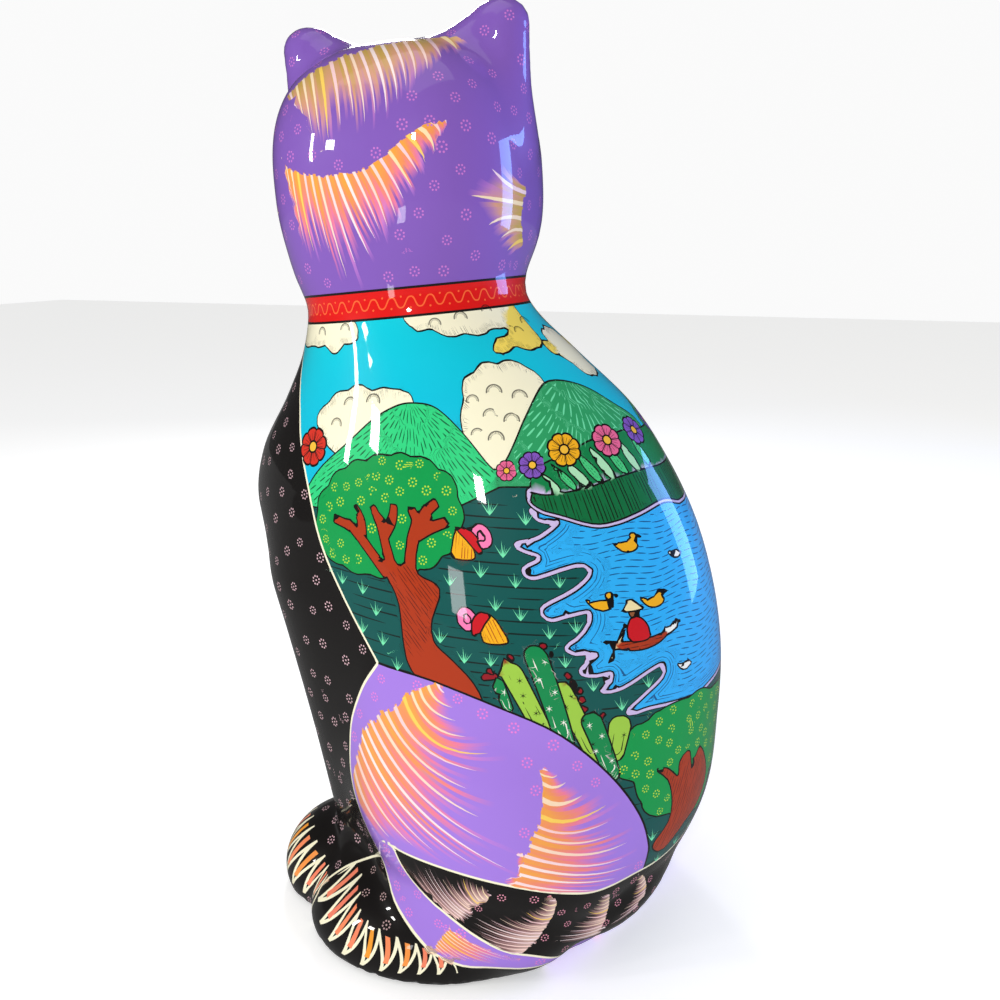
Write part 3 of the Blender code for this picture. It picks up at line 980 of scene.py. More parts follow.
CROWN_FAN = [
    (1, 290, 92, 294, 104, 300, 114),
    (3, 303, 78, 308, 108, 314, 143),
    (5, 320, 66, 325, 102, 328, 140),
    (6.9, 340, 56, 349, 90, 353, 132),
    (8.9, 358, 50, 370, 84, 374, 122),
    (10.9, 380, 44, 392, 72, 396, 104),
    (12.9, 402, 40, 412, 60, 414, 85),
    (14.9, 425, 38, 436, 50, 440, 62),
    (16.2, 445, 36, 455, 42, 462, 50),
]
NAPE_FAN = [
    (1, 281, 156, 286, 178, 292, 206),
    (3.4, 288, 167, 294, 205, 303, 250),
    (5.8, 303, 172, 310, 212, 322, 256),
    (8.2, 320, 174, 332, 222, 351, 284),
    (10.6, 340, 172, 356, 210, 374, 245),
    (13, 362, 168, 378, 200, 389, 234),
    (15.4, 383, 155, 398, 178, 410, 200),
    (17.8, 405, 136, 418, 152, 426, 168),
    (19.4, 424, 124, 434, 134, 437, 148),
    (21, 446, 119, 447, 122, 447, 127),
]
CHEEK_FAN = [
    (1, 527, 193, 508, 184, 489, 165),
    (2, 524, 204, 497, 199, 468, 195),
    (3, 522, 219, 503, 218, 486, 228),
    (4, 522, 230, 511, 231, 498, 241),
    (5, 523, 240, 516, 243, 507, 251),
]
TAIL_FANS = [
    [(1, 493, 898, 489, 893, 487, 888), (4, 482, 903, 473, 892, 470, 879), (8, 472, 911, 455, 897, 441, 876),
     (11, 466, 917, 443, 897, 423, 864), (14, 457, 921, 431, 896, 410, 868)],
    [(1, 558, 899, 551, 901, 544, 899), (4, 554, 914, 543, 915, 533, 909), (7, 547, 926, 528, 926, 508, 916),
     (10, 541, 936, 510, 933, 476, 918), (13, 532, 946, 502, 944, 474, 932),
     (15, 524, 953, 510, 952, 494, 948)],
    [(1, 610, 894, 605, 897, 600, 897), (4, 609, 905, 600, 909, 592, 907), (7, 606, 918, 592, 922, 578, 921),
     (11, 601, 931, 580, 938, 553, 941)],
    [(1, 642, 871, 640, 874, 637, 875), (4, 646, 882, 640, 888, 634, 890), (7, 646, 892, 637, 899, 628, 903),
     (10, 641, 902, 628, 913, 610, 925)],
    [(1, 683, 831, 681, 836, 678, 840), (4, 685, 845, 678, 852, 670, 858)],
]
# Kinds of fan.
WARM, PALE, TEETH, GOLDEN, PLAIN = range(5)
# Fans on the face, in millimetres of the head's own frame: from its middle outward, and up.
FACE_START = 8
FACE_FANS = [
    ([(0.5, 0, 52, 0, 42, 0, 26), (4, 8, 52, 7, 42, 5, 27), (8, 17, 50, 14, 41, 10, 29),
      (12, 27, 45, 22, 38, 17, 30)], GOLDEN),
    ([(0.5, 0, -33, 0, -41, 0, -50), (5, 11, -33, 11, -41, 10, -49), (10, 23, -29, 23, -37, 21, -45),
      (14, 34, -22, 35, -30, 33, -38)], WARM),
    ([(0.5, 15, -22, 26, -27, 38, -33), (2.5, 16, -18, 28, -20, 42, -23), (4.5, 15, -14, 27, -13, 41, -13)],
     PLAIN),
]
# Teeth round the paws, on the chart: tooth, foot of the tooth, its middle and its tip.
HIND_TEETH = [
    (0, 128, 8, 129, 13, 130, 17),
    (2, 143, 7, 142, 13, 142, 19),
    (4, 158, 5, 157, 13, 158, 21),
    (6, 175, 7, 172, 16, 170, 24),
    (7.5, 186, 12, 182, 21, 179, 29),
    (8.5, 194, 17, 190, 25, 187, 32),
]
FRONT_TEETH = [
    (0, 201, 8, 200, 16, 200, 23),
    (2, 215, 7, 213, 17, 210, 26),
    (4, 230, 8, 228, 19, 226, 31),
    (6, 245, 8, 243, 20, 241, 31),
    (8, 260, 8, 259, 19, 257, 29),
]


def fan_grid(rows, strokes, shares):
    """Places along the strokes of a fan: through each stroke's start, middle and tip."""
    rails = through_rows(rows, strokes).reshape(-1, 3, 2)
    t = shares[:, None]
    return (rails[:, 0] * (1 - t) * (1 - 2 * t) + rails[:, 1] * 4 * t * (1 - t)
            + rails[:, 2] * t * (2 * t - 1))


def stretched(rows):
    """The rows with one more at each end, a stroke further on."""
    rows = np.array(rows, float)
    before = rows[0] + (rows[0] - rows[1]) / (rows[1, 0] - rows[0, 0])
    after = rows[-1] + (rows[-1] - rows[-2]) / (rows[-1, 0] - rows[-2, 0])
    return np.concatenate([before[None], rows, after[None]])


# A fan reaches this many strokes past its first and last, and these shares of a stroke's length
# before its start and past its tip. The grid's numbers are for finding a corner's place in it.
FAN_SIDE = 0.5
FAN_TIP = 1.12
GRID_SIDE = 0.8
GRID_SHARES = (-0.12, 1.15, 61)
GRID_STROKES = 161
FAN_NEAR = 12           # how far from a fan's own places its corners are looked for
FAN_OUTSIDE = 4         # how far outside its part of the body too
FAN_GAP = 8             # the longest way from a corner to the nearest place of the grid
FAN_MISS = 0.6          # the largest error of a place that is used
MARGIN_OF_SHARE = 10    # a fan's margin at its root and tip, for one of its strokes' length
MARGIN_OF_ROOM = 0.5    # and for each millimetre of room
LEAST_AREA = 1e-3
MOST_STROKES, MOST_SHARE = 0.5, 0.1
PLACE_STEP = 0.02
PLACE_ROUNDS = 4


def add_fan(paint, rows, kind, places, room):
    """Gives each corner near the fan its stroke number and its share of the way along.

    Room is how far the corner is inside the part of the body that the fan keeps to.
    """
    first, last = rows[0][0], rows[-1][0]
    rows = stretched(rows)
    corners = rows[:, 1:].reshape(-1, 2)
    low, high = corners.min(0) - FAN_NEAR, corners.max(0) + FAN_NEAR
    near = np.flatnonzero((room > -FAN_OUTSIDE) & ((places > low) & (places < high)).all(1))
    if not len(near):
        return
    strokes = np.linspace(first - GRID_SIDE, last + GRID_SIDE, GRID_STROKES)
    s, t = np.meshgrid(strokes, np.linspace(*GRID_SHARES), indexing="ij")
    s, t = s.ravel(), t.ravel()
    grid = fan_grid(rows, s, t)
    tree = KDTree(len(grid))
    for index, place in enumerate(grid):
        tree.insert((*place, 0), index)
    tree.balance()
    found = [tree.find((*place, 0)) for place in places[near]]
    index = np.array([item[1] for item in found])
    gap = np.array([item[2] for item in found])
    s, t = refined(rows, s[index], t[index], places[near])
    margin = np.minimum.reduce([t * MARGIN_OF_SHARE, (FAN_TIP - t) * MARGIN_OF_SHARE,
                                s - first + FAN_SIDE, last + FAN_SIDE - s,
                                room[near] * MARGIN_OF_ROOM])
    miss = np.linalg.norm(places[near] - fan_grid(rows, s, t), axis=1)
    margin = np.where((gap > FAN_GAP) | (miss > FAN_MISS), OUT_OF_FAN, margin)
    better = margin > paint.fan[near, 2]
    chosen = near[better]
    paint.fan[chosen] = np.stack([s, t, margin, np.full(len(near), kind)], axis=1)[better]


def refined(rows, s, t, places):
    """Stroke numbers and shares that meet the places more closely."""
    for _ in range(PLACE_ROUNDS):
        here = fan_grid(rows, s, t)
        by_s = (fan_grid(rows, s + PLACE_STEP, t) - fan_grid(rows, s - PLACE_STEP, t)) / (2 * PLACE_STEP)
        by_t = (fan_grid(rows, s, t + PLACE_STEP) - fan_grid(rows, s, t - PLACE_STEP)) / (2 * PLACE_STEP)
        miss = places - here
        area = by_s[:, 0] * by_t[:, 1] - by_s[:, 1] * by_t[:, 0]
        area = np.where(np.abs(area) < LEAST_AREA, HUGE, area)
        s_move = (miss[:, 0] * by_t[:, 1] - miss[:, 1] * by_t[:, 0]) / area
        t_move = (by_s[:, 0] * miss[:, 1] - by_s[:, 1] * miss[:, 0]) / area
        s = s + np.clip(s_move, -MOST_STROKES, MOST_STROKES)
        t = t + np.clip(t_move, -MOST_SHARE, MOST_SHARE)
    return s, t


# Motifs: small painted figures of a few kinds, each on a centre with a size and a colour.
ROSETTE, TUFT, STAR, FLOWER, PUFF, SPOT = range(6)
GOLDEN_ANGLE = 2.39996
MOTIF_REACH = 2.6       # how far a motif's frame goes, in shares of its size
NO_MOTIF = 9.0
SIZE_SPREAD = (0.9, 1.1)


def add_motif(paint, index, kind, size, tint):
    """A motif centred on a corner of the mesh."""
    paint.motifs.append((index, kind, size, tint))


def add_motif_at(paint, place, kind, size, tint):
    """A motif at a place on the chart, on the side that the camera sees and on the other."""
    for side in (1, -1):
        on_side = np.where(side * paint.points[:, 0] > -0.5, 0, HUGE)
        index = int(np.argmin(((paint.places - place) ** 2).sum(1) + on_side))
        add_motif(paint, index, kind, size, tint)


def scatter(paint, usable, spacing, kind, size, tint, random):
    """Motifs over the usable corners, at least a spacing apart."""
    order = random.permutation(np.flatnonzero(usable))
    points = paint.points[order]
    free = np.ones(len(order), bool)
    for index, _, other, _ in paint.motifs:
        gap = spacing * 0.5 + other
        free &= ((points - paint.points[index]) ** 2).sum(1) > gap**2
    while free.any():
        first = int(np.argmax(free))
        add_motif(paint, int(order[first]), kind, size * random.uniform(*SIZE_SPREAD), tint)
        free &= ((points - points[first]) ** 2).sum(1) > spacing**2


def motif_values(paint):
    """For each corner, its place in the nearest motif's own frame, and that motif's look.

    The last two values of a place are a mark of the motif, a point on the unit circle. Between
    two motifs the marks mix to a point inside the circle, where nothing is drawn.
    """
    count = len(paint.points)
    best = np.full(count, NO_MOTIF)
    place = np.tile((NO_MOTIF, NO_MOTIF, 0.0, 0.0), (count, 1))
    look = np.zeros((count, 4))
    for number, (index, kind, size, tint) in enumerate(paint.motifs):
        centre, normal = paint.points[index], paint.normals[index]
        near = np.flatnonzero((np.abs(paint.points - centre) < MOTIF_REACH * size).all(1))
        offset = paint.points[near] - centre
        reach = np.linalg.norm(offset, axis=1) / size
        right = np.cross((0, 0, 1), normal)
        right /= max(np.linalg.norm(right), TINY)
        up = np.cross(normal, right)
        closer = reach < best[near]
        chosen = near[closer]
        best[chosen] = reach[closer]
        flat = np.stack([offset @ right, offset @ up], axis=1)[closer] / size
        mark = number * GOLDEN_ANGLE
        marks = np.tile((math.cos(mark), math.sin(mark)), (len(flat), 1))
        place[chosen] = np.column_stack([flat, marks])
        look[chosen] = (*tint, kind)
    return place, look


# Regions of the body: where their rings go that the camera doesn't see, in chart millimetres.
COLLAR_TILT = 0.1
COLLAR_LEVEL = 287.6
COLLAR_HALF = 5.7
COLLAR_RADIUS = 50
COLLAR_MIDDLE = -43
HEAD_START = 20         # above the collar, where no region of the body is drawn
FRONT_MIDDLE = math.pi * CHART_RADIUS + 10
FRONT_START = [(208, 310)]
FRONT_REST = [(192, 20), (200, -9), (FRONT_MIDDLE, -9), (FRONT_MIDDLE, 310)]
PAW_REST = [(198, 8), (200, -9), (84, -9), (86, 10)]
LEG_REST = [(44, 40), (-9, 36), (-9, -9), (FRONT_MIDDLE, -9), (FRONT_MIDDLE, 100), (200, 160)]


def region_values(paint):
    chest, thigh, arch, foot, top, tail_top, tail_low = [
        curve(paint.on_chart(line), steps=4)
        for line in (CHEST_LINE, THIGH_FRONT, PAW_ARCH, FOOT_LINE, THIGH_TOP, TAIL_TOP, TAIL_LOW)]
    front_ring = np.concatenate([FRONT_START, chest, thigh[1:], FRONT_REST])
    paw_ring = np.concatenate([arch, PAW_REST, foot])
    tail_ring = np.concatenate([tail_top, TAIL_BACK, tail_low])
    leg_ring = np.concatenate([top, LEG_REST])
    side = np.where(paint.points[:, :1] < 0, -1, 1)
    around = paint.places * np.concatenate([side, np.ones((len(side), 1))], axis=1)
    regions = np.stack([signed(paint.places, leg_ring), signed(paint.places, front_ring),
                        signed(around, tail_ring), signed(paint.places, paw_ring)], axis=1)
    collar = paint.points[:, 2] - COLLAR_TILT * paint.points[:, 1] - COLLAR_LEVEL
    regions[collar > HEAD_START] = FAR
    turn = np.arctan2(np.abs(paint.points[:, 0]), paint.points[:, 1] - COLLAR_MIDDLE)
    band = np.stack([turn * COLLAR_RADIUS, collar, np.zeros(len(turn))], axis=1)
    return regions, band


class Wire:
    """A value in a shader: arithmetic on it adds Math nodes."""

    def __init__(self, tree, socket):
        self.tree, self.socket = tree, socket

    def math(self, operation, *others):
        node = self.tree.nodes.new("ShaderNodeMath")
        node.operation = operation
        for socket, value in zip(node.inputs, (self, *others)):
            if isinstance(value, Wire):
                self.tree.links.new(value.socket, socket)
            else:
                socket.default_value = value
        return Wire(self.tree, node.outputs[0])

    def __add__(self, other):
        return self.math("ADD", other)

    def __sub__(self, other):
        return self.math("SUBTRACT", other)

    def __mul__(self, other):
        return self.math("MULTIPLY", other)

    def __truediv__(self, other):
        return self.math("DIVIDE", other)

    def __lt__(self, other):
        return self.math("LESS_THAN", other)

    def __gt__(self, other):
        return self.math("GREATER_THAN", other)

    def away(self, other=0.0):
        return (self - other).math("ABSOLUTE")

    def floor(self):
        return self.math("FLOOR")

    def part(self):
        return self.math("FRACT")

    def clamp(self):
        node = self.tree.nodes.new("ShaderNodeClamp")
        self.tree.links.new(self.socket, node.inputs[0])
        return Wire(self.tree, node.outputs[0])

    def chance(self, *others):
        """A random value from 0 to 1 for this value, and for up to two more."""
        node = self.tree.nodes.new("ShaderNodeTexWhiteNoise")
        node.noise_dimensions = "3D"
        pack = self.tree.nodes.new("ShaderNodeCombineXYZ")
        for socket, value in zip(pack.inputs, (self, *others)):
            if isinstance(value, Wire):
                self.tree.links.new(value.socket, socket)
            else:
                socket.default_value = value
        self.tree.links.new(pack.outputs[0], node.inputs["Vector"])
        return Wire(self.tree, node.outputs["Value"])


class Glaze:
    """Colours laid over each other in one material."""

    def __init__(self, tree):
        self.tree = tree
        self.colour = None

    def attribute(self, name):
        node = self.tree.nodes.new("ShaderNodeAttribute")
        node.attribute_name = name
        return node

    def parts(self, name):
        """The three values of an attribute and its fourth, and its colour socket."""
        node = self.attribute(name)
        split = self.tree.nodes.new("ShaderNodeSeparateXYZ")
        self.tree.links.new(node.outputs["Vector"], split.inputs[0])
        values = [Wire(self.tree, socket) for socket in split.outputs]
        return values, Wire(self.tree, node.outputs["Alpha"]), node.outputs["Color"]

    def over(self, mask, tint):
        """Lays a colour, or a colour socket, over what is there where the mask is 1."""
        node = self.tree.nodes.new("ShaderNodeMix")
        node.data_type = "RGBA"
        self.tree.links.new(mask.socket, node.inputs[0])
        if self.colour is None:
            node.inputs[6].default_value = (0, 0, 0, 1)
        else:
            self.tree.links.new(self.colour, node.inputs[6])
        if isinstance(tint, bpy.types.NodeSocket):
            self.tree.links.new(tint, node.inputs[7])
        else:
            node.inputs[7].default_value = (*tint, 1)
        self.colour = node.outputs[2]

    def ramp(self, value, stops):
        node = self.tree.nodes.new("ShaderNodeValToRGB")
        self.tree.links.new(value.socket, node.inputs[0])
        ramp = node.color_ramp
        while len(ramp.elements) < len(stops):
            ramp.elements.new(1)
        for element, (place, tint) in zip(ramp.elements, stops):
            element.position = place
            element.color = (*tint, 1)
        return node.outputs[0]


LINE = 0.33             # half width of the black outlines
THIGH_LINE = 0.45       # half width of the black line over the thigh
BORDER = 0.55           # half width of the cream border lines
# The collar's wave, with dots between its crests, and the black lines along its edges.
WAVES_ROUND = 20
WAVE_LENGTH = math.pi * COLLAR_RADIUS / WAVES_ROUND
WAVE_HEIGHT = 2.1
WAVE_SHARPNESS = 0.3
WAVE_LINE = 0.3
DOT_LEVEL = 2.3
DOT_RADIUS = 0.42
COLLAR_LINE = 0.5
COLLAR_ORANGE = colour(250, 104, 52)
# Free strokes: how much a dash's place, length and offset vary by chance.
DASH_SHIFT = 7
SHORTEST_DASH = 0.6
DASH_WANDER = 0.25


def glaze_picture(glaze):
    for name in LAYERS:
        _, distance, tint = glaze.parts(name)
        if name == "water":
            glaze.over(distance < BEACH + LINE, BLACK)
            glaze.over(distance < BEACH, LILAC)
        glaze.over(distance < 0, tint)
        glaze.over(distance.away() < LINE, BLACK)


def glaze_strokes(glaze):
    (across, along, width), _, _ = glaze.parts("strokes")
    _, strength, tint = glaze.parts("ink")
    row = across.floor()
    shifted = along + row.chance() * DASH_SHIFT
    dash = shifted.floor()
    luck = row.chance(dash)
    share = shifted.part() / (luck * (1 - SHORTEST_DASH) + SHORTEST_DASH)
    taper = (share * (share * -1 + 1)).math("MAXIMUM", 0).math("SQRT") * 2
    offset = (across.part() - 0.5 + (luck - 0.5) * DASH_WANDER).away()
    glaze.over((offset < width * taper) * strength, tint)


def glaze_regions(glaze):
    (leg, front, tail_edge), paw, _ = glaze.parts("regions")
    glaze.over(leg < 0, THIGH_PURPLE)
    glaze.over(leg.away() < THIGH_LINE, BLACK)
    for distance in (front, paw, tail_edge):
        glaze.over(distance < 0, BLACK)
        glaze.over(distance.away() < BORDER, CREAM)


def glaze_collar(glaze):
    (along, across, _), _, _ = glaze.parts("band")
    glaze.over(across > -COLLAR_HALF, COLLAR_RED)
    turn = along * (2 * math.pi / WAVE_LENGTH)
    sine = turn.math("SINE")
    full = 1 + WAVE_SHARPNESS
    wave = sine * (sine * sine * -WAVE_SHARPNESS + full) * WAVE_HEIGHT
    steep = turn.math("COSINE") * (sine * sine * (-3 * WAVE_SHARPNESS) + full)
    steep = steep * (WAVE_HEIGHT * 2 * math.pi / WAVE_LENGTH)
    squiggle = ((across - wave) / (steep * steep + 1).math("SQRT")).away() < WAVE_LINE
    glaze.over(squiggle, COLLAR_ORANGE)
    for side in (1, -1):
        apart = ((along / WAVE_LENGTH + 0.5 + side * 0.25).part() - 0.5) * WAVE_LENGTH
        level = across - side * DOT_LEVEL
        glaze.over((apart * apart + level * level).math("SQRT") < DOT_RADIUS, COLLAR_ORANGE)
    glaze.over(across > COLLAR_HALF, HEAD_PURPLE)
    glaze.over((across.away() - COLLAR_HALF).away() < COLLAR_LINE, BLACK)


# The tints of the fans from root to tip, and of single strokes by chance.
FAN_TINTS = {
    WARM: [(0.0, colour(252, 168, 38)), (0.3, colour(250, 150, 80)), (0.6, colour(246, 128, 150)),
           (1.0, colour(206, 130, 214))],
    PALE: [(0.0, colour(236, 200, 188)), (0.5, colour(160, 118, 118)), (1.0, colour(60, 48, 48))],
    GOLDEN: [(0.0, colour(206, 170, 60)), (0.4, colour(222, 160, 120)), (1.0, colour(190, 120, 200))],
}
STROKE_TINTS = [(0.0, colour(255, 214, 96)), (0.22, colour(255, 232, 190)), (0.6, colour(252, 208, 220)),
                (1.0, colour(255, 242, 238))]
FLAME_TINTS = [(0.0, colour(250, 160, 50)), (0.5, colour(250, 140, 100)), (1.0, colour(236, 120, 110))]
FINE_STROKES = 5        # fine strokes to each of a fan's numbered strokes
SHORTEST_FINE = 0.62    # share of the way along at which the shortest fine stroke has faded
FINE_SPREAD = 0.5
FADE = 0.3              # share of the way along that a fine stroke takes to fade
HUE_SPREAD = 0.45
FAN_STRENGTH = 0.92
SHORTEST_LIGHT = 0.82   # share of the way along that the shortest light stroke goes
LIGHT_SPREAD = 0.2
LIGHT_WIDTH = 0.16
LIGHT_TAPER = 0.8
LIGHT_ROUNDNESS = 0.85
LIGHT_START = 0.02
LIGHT_STRENGTH = 0.93
TOOTH_BEND = 0.7
TOOTH_LINE = 0.085
TOOTH_ENDS = (-0.05, 1.05)
FLAME_WIDTH = 0.13
FLAME_ENDS = (0.3, 0.98)


def glaze_fans(glaze):
    (s, t, margin), kind, _ = glaze.parts("fan")
    shown = margin > 0
    fine = (s * FINE_STROKES).floor()
    luck, other = fine.chance(), fine.chance(3.0)
    fade = ((luck * FINE_SPREAD + SHORTEST_FINE - t) / FADE).clamp() * (t > other * 0.05)
    hue = (t + (other - 0.5) * HUE_SPREAD).clamp()
    for number, stops in FAN_TINTS.items():
        mask = shown * (kind.away(number) < 0.5) * fade * FAN_STRENGTH
        glaze.over(mask, glaze.ramp(hue, stops))
    near = s + 0.5
    number = near.floor()
    reach = number.chance(5.0) * LIGHT_SPREAD + SHORTEST_LIGHT
    taper = ((reach - t) / LIGHT_TAPER).clamp().math("POWER", LIGHT_ROUNDNESS)
    wide = taper * LIGHT_WIDTH + (t < LIGHT_START) * -1
    stroke = ((near.part() - 0.5).away() < wide) * (t > 0) * shown
    light = glaze.ramp(number.chance(9.0), STROKE_TINTS)
    glaze.over(stroke * (kind.away(TEETH) > 0.5) * LIGHT_STRENGTH, light)
    bent = s + (t * (t * -1 + 1)) * TOOTH_BEND
    within = bent.part()
    zigzag = ((within - 0.5).away() * 2 - t).away() * 0.5
    teeth = shown * (kind.away(TEETH) < 0.5) * (t > TOOTH_ENDS[0]) * (t < TOOTH_ENDS[1])
    glaze.over(teeth * (zigzag < TOOTH_LINE), CREAM)
    flame = ((within - 0.5).away() < FLAME_WIDTH) * (t > FLAME_ENDS[0]) * (t < FLAME_ENDS[1])
    glaze.over(teeth * flame, glaze.ramp(bent.floor().chance(), FLAME_TINTS))


# The motifs, in shares of their size.
MOTIF_EDGE = 1.15
WHOLE_MARK = 0.995      # a mark shorter than this, squared, is mixed from two motifs
ROSETTE_DOTS = 8
ROSETTE_RING, ROSETTE_DOT, ROSETTE_MIDDLE = 0.74, 0.165, 0.17
TUFT_FOOT = 0.8
TUFT_BLADES = 4.2       # blades to a radian
TUFT_SPREAD = 3
BLADE_WIDTH = 0.05
STAR_RAYS = 6
STAR_WIDTH = 0.11
PUFF_ARC, PUFF_LINE, PUFF_TURN = 0.86, 0.075, 1.75
PUFF_TICKS, PUFF_TICK, PUFF_INNER, PUFF_TICK_TURN = 4.2, 0.13, 0.55, 1.6
PUFF_STRENGTH = 0.85
SPOT_EDGE = 0.9
PETAL_TOP, PETAL_DIP = 0.96, 0.12
PETAL_LINE, PETAL_SPLIT = 0.06, 0.035
VEINS, VEIN_LINE, VEIN_START, VEIN_END, VEIN_STRENGTH = 24, 0.05, 0.3, 0.72, 0.8
FLOWER_MIDDLE, MIDDLE_LINE = 0.28, 0.05
MIDDLE_YELLOW = colour(246, 190, 60)


def glaze_motifs(glaze):
    (x, y, mark), other_mark, _ = glaze.parts("motif")
    _, kind, tint = glaze.parts("motif_look")
    flat = (x * x + y * y).math("SQRT")
    near = (flat < MOTIF_EDGE) * (mark * mark + other_mark * other_mark > WHOLE_MARK)
    angle = y.math("ARCTAN2", x) / (2 * math.pi)
    petal = (angle * ROSETTE_DOTS).part() - 0.5

    def lay(number, mask, shade=tint):
        glaze.over(near * (kind.away(number) < 0.5) * mask, shade)

    dot_x = flat - ROSETTE_RING
    dot_y = petal * flat * (2 * math.pi / ROSETTE_DOTS)
    dots = (dot_x * dot_x + dot_y * dot_y).math("SQRT") < ROSETTE_DOT
    lay(ROSETTE, dots.math("MAXIMUM", flat < ROSETTE_MIDDLE))
    from_foot = y + TUFT_FOOT
    foot_reach = (x * x + from_foot * from_foot).math("SQRT")
    lean = x.math("ARCTAN2", from_foot) * TUFT_BLADES
    blade = (lean.part() - 0.5).away() * foot_reach / TUFT_BLADES
    tall = (lean.floor().chance(2.0) * 0.9 + 1.0 - foot_reach) * BLADE_WIDTH
    lay(TUFT, (blade < tall) * (from_foot > 0) * (lean.away() < TUFT_SPREAD))
    ray = ((angle * STAR_RAYS).part() - 0.5).away() * flat
    lay(STAR, ray < (flat * -1 + 1) * STAR_WIDTH)
    bow = x.math("ARCTAN2", y)
    arc = ((flat - PUFF_ARC).away() < PUFF_LINE) * (bow.away() < PUFF_TURN)
    tick = ((bow * PUFF_TICKS).part() - 0.5).away() * flat < PUFF_TICK
    tick = tick * (flat > PUFF_INNER) * (flat < PUFF_ARC) * (bow.away() < PUFF_TICK_TURN)
    lay(PUFF, arc.math("MAXIMUM", tick) * PUFF_STRENGTH)
    lay(SPOT, flat < SPOT_EDGE)
    edge = petal.away().math("MULTIPLY", 2).math("POWER", 3) * -PETAL_DIP + PETAL_TOP
    lay(FLOWER, flat < edge)
    lay(FLOWER, (flat - edge).away() < PETAL_LINE, BLACK)
    vein = (((angle * VEINS).part() - 0.5).away() * flat < VEIN_LINE) * (flat < VEIN_END)
    lay(FLOWER, vein * (flat > VEIN_START) * VEIN_STRENGTH, BLACK)
    lay(FLOWER, ((petal.away() * -1 + 0.5) * flat < PETAL_SPLIT) * (flat < edge), BLACK)
    lay(FLOWER, flat < FLOWER_MIDDLE, MIDDLE_YELLOW)
    lay(FLOWER, (flat - FLOWER_MIDDLE).away() < MIDDLE_LINE, BLACK)


def glaze_face(glaze):
    for name in FACE_LAYERS:
        _, distance, tint = glaze.parts(name)
        glaze.over(distance < 0, tint)
        glaze.over(distance.away() < LINE, BLACK)


SKY_DEPTH = 60          # below the collar, over which the sky's tint changes
ROUGHNESS = 0.38
SHEEN_OF_PAINT = 0.1    # the specular level of the paint under the clear coat
COAT_ROUGHNESS = 0.03


def glaze_material():
    material = bpy.data.materials.new("painted_glaze")
    material.use_nodes = True
    tree = material.node_tree
    shader = tree.nodes["Principled BSDF"]
    glaze = Glaze(tree)
    (_, level, _), _, _ = glaze.parts("band")
    sky = glaze.ramp(((level + SKY_DEPTH) / SKY_DEPTH).clamp(), [(0.0, SKY_LOW), (1.0, SKY_HIGH)])
    glaze.over(level < HUGE, sky)
    for lay in (glaze_picture, glaze_strokes, glaze_regions, glaze_collar, glaze_face, glaze_fans,
                glaze_motifs):
        lay(glaze)
    tree.links.new(glaze.colour, shader.inputs["Base Color"])
    for name, value in (("Roughness", ROUGHNESS), ("Specular IOR Level", SHEEN_OF_PAINT),
                        ("Coat Weight", 1), ("Coat Roughness", COAT_ROUGHNESS)):
        shader.inputs[name].default_value = value
    return material


def add_face_spots(paint):
    """The painted highlight dots in the eyes and the dots of the whiskers, on both sides of the face."""
    head_points = in_head(paint.points)
    # A white painted highlight in each eye, then the black whisker dots.
    spots = [(*EYE_HIGHLIGHT_DOT, WHITE)]
    spots += [(across, up, WHISKER_DOT, BLACK) for across, up in WHISKER_DOTS]
    for across, up, size, tint in spots:
        for side in (1, -1):
            gap = (head_points[:, 1] - side * across) ** 2 + (head_points[:, 2] - up) ** 2
            index = int(np.argmin(np.where(head_points[:, 0] > FACE_START, gap, HUGE)))
            add_motif(paint, index, SPOT, size, tint)


PUFF_SCALE = 0.4        # millimetres to a pixel of a puff's radius
SPINE_GAP = 5.2
SPINE_SIZE = 1.6
SPINE_SIDES = (-0.4, 0.4)
FIRST_SPINE = 0.6


def add_picture_motifs(paint):
    for column, row, size, tint in FLOWERS:
        add_motif_at(paint, paint.on_chart([(column, row)])[0], FLOWER, size, tint)
    for column, row, size in PUFFS:
        place = paint.on_chart([(column, row)])[0]
        index = np.argmin(((paint.places - place) ** 2).sum(1))
        if paint.layers["far"][index, 3] < -1 and paint.layers["hills"][index, 3] > 1:
            add_motif_at(paint, place, PUFF, size * PUFF_SCALE, BLACK)
    for foot, top, width, kind in CACTI:
        foot, top = paint.on_chart([foot, top])
        count = int(np.linalg.norm(top - foot) / SPINE_GAP)
        for number in range(count):
            side = SPINE_SIDES[number % 2] * width / 2
            place = foot + (top - foot) * (number + FIRST_SPINE) / count + (side, 0)
            add_motif_at(paint, place, STAR, SPINE_SIZE, CACTUS_LOOKS[kind][2])


# What is scattered over each part: the gap, the motif, its size and its tint.
SCATTERED = {
    "land": (10.5, TUFT, 3.6, MINT),
    "crown": (6.2, ROSETTE, 2.1, colour(190, 226, 60)),
    "head": (10.5, ROSETTE, 2.5, colour(206, 122, 206)),
    "thigh": (10.0, ROSETTE, 2.5, colour(240, 128, 214)),
    "chest": (10.5, ROSETTE, 2.4, colour(214, 176, 184)),
    "paws": (9.0, ROSETTE, 2.2, colour(190, 160, 158)),
    "tail": (9.5, ROSETTE, 2.1, colour(226, 150, 170)),
}
# How far a motif keeps from the edge of its part, of the scene and of what stands on the land.
CLEAR = 3
CHEST_CLEAR = 3.5
SCENE_CLEAR = 2
CROWN_CLEAR = 2.4
WATER_CLEAR = 4
THING_CLEAR = 3.5
BELOW_COLLAR = -8
FOOT_LEVEL = 3
PAW_LEVEL = 14
NO_FAN = -0.4


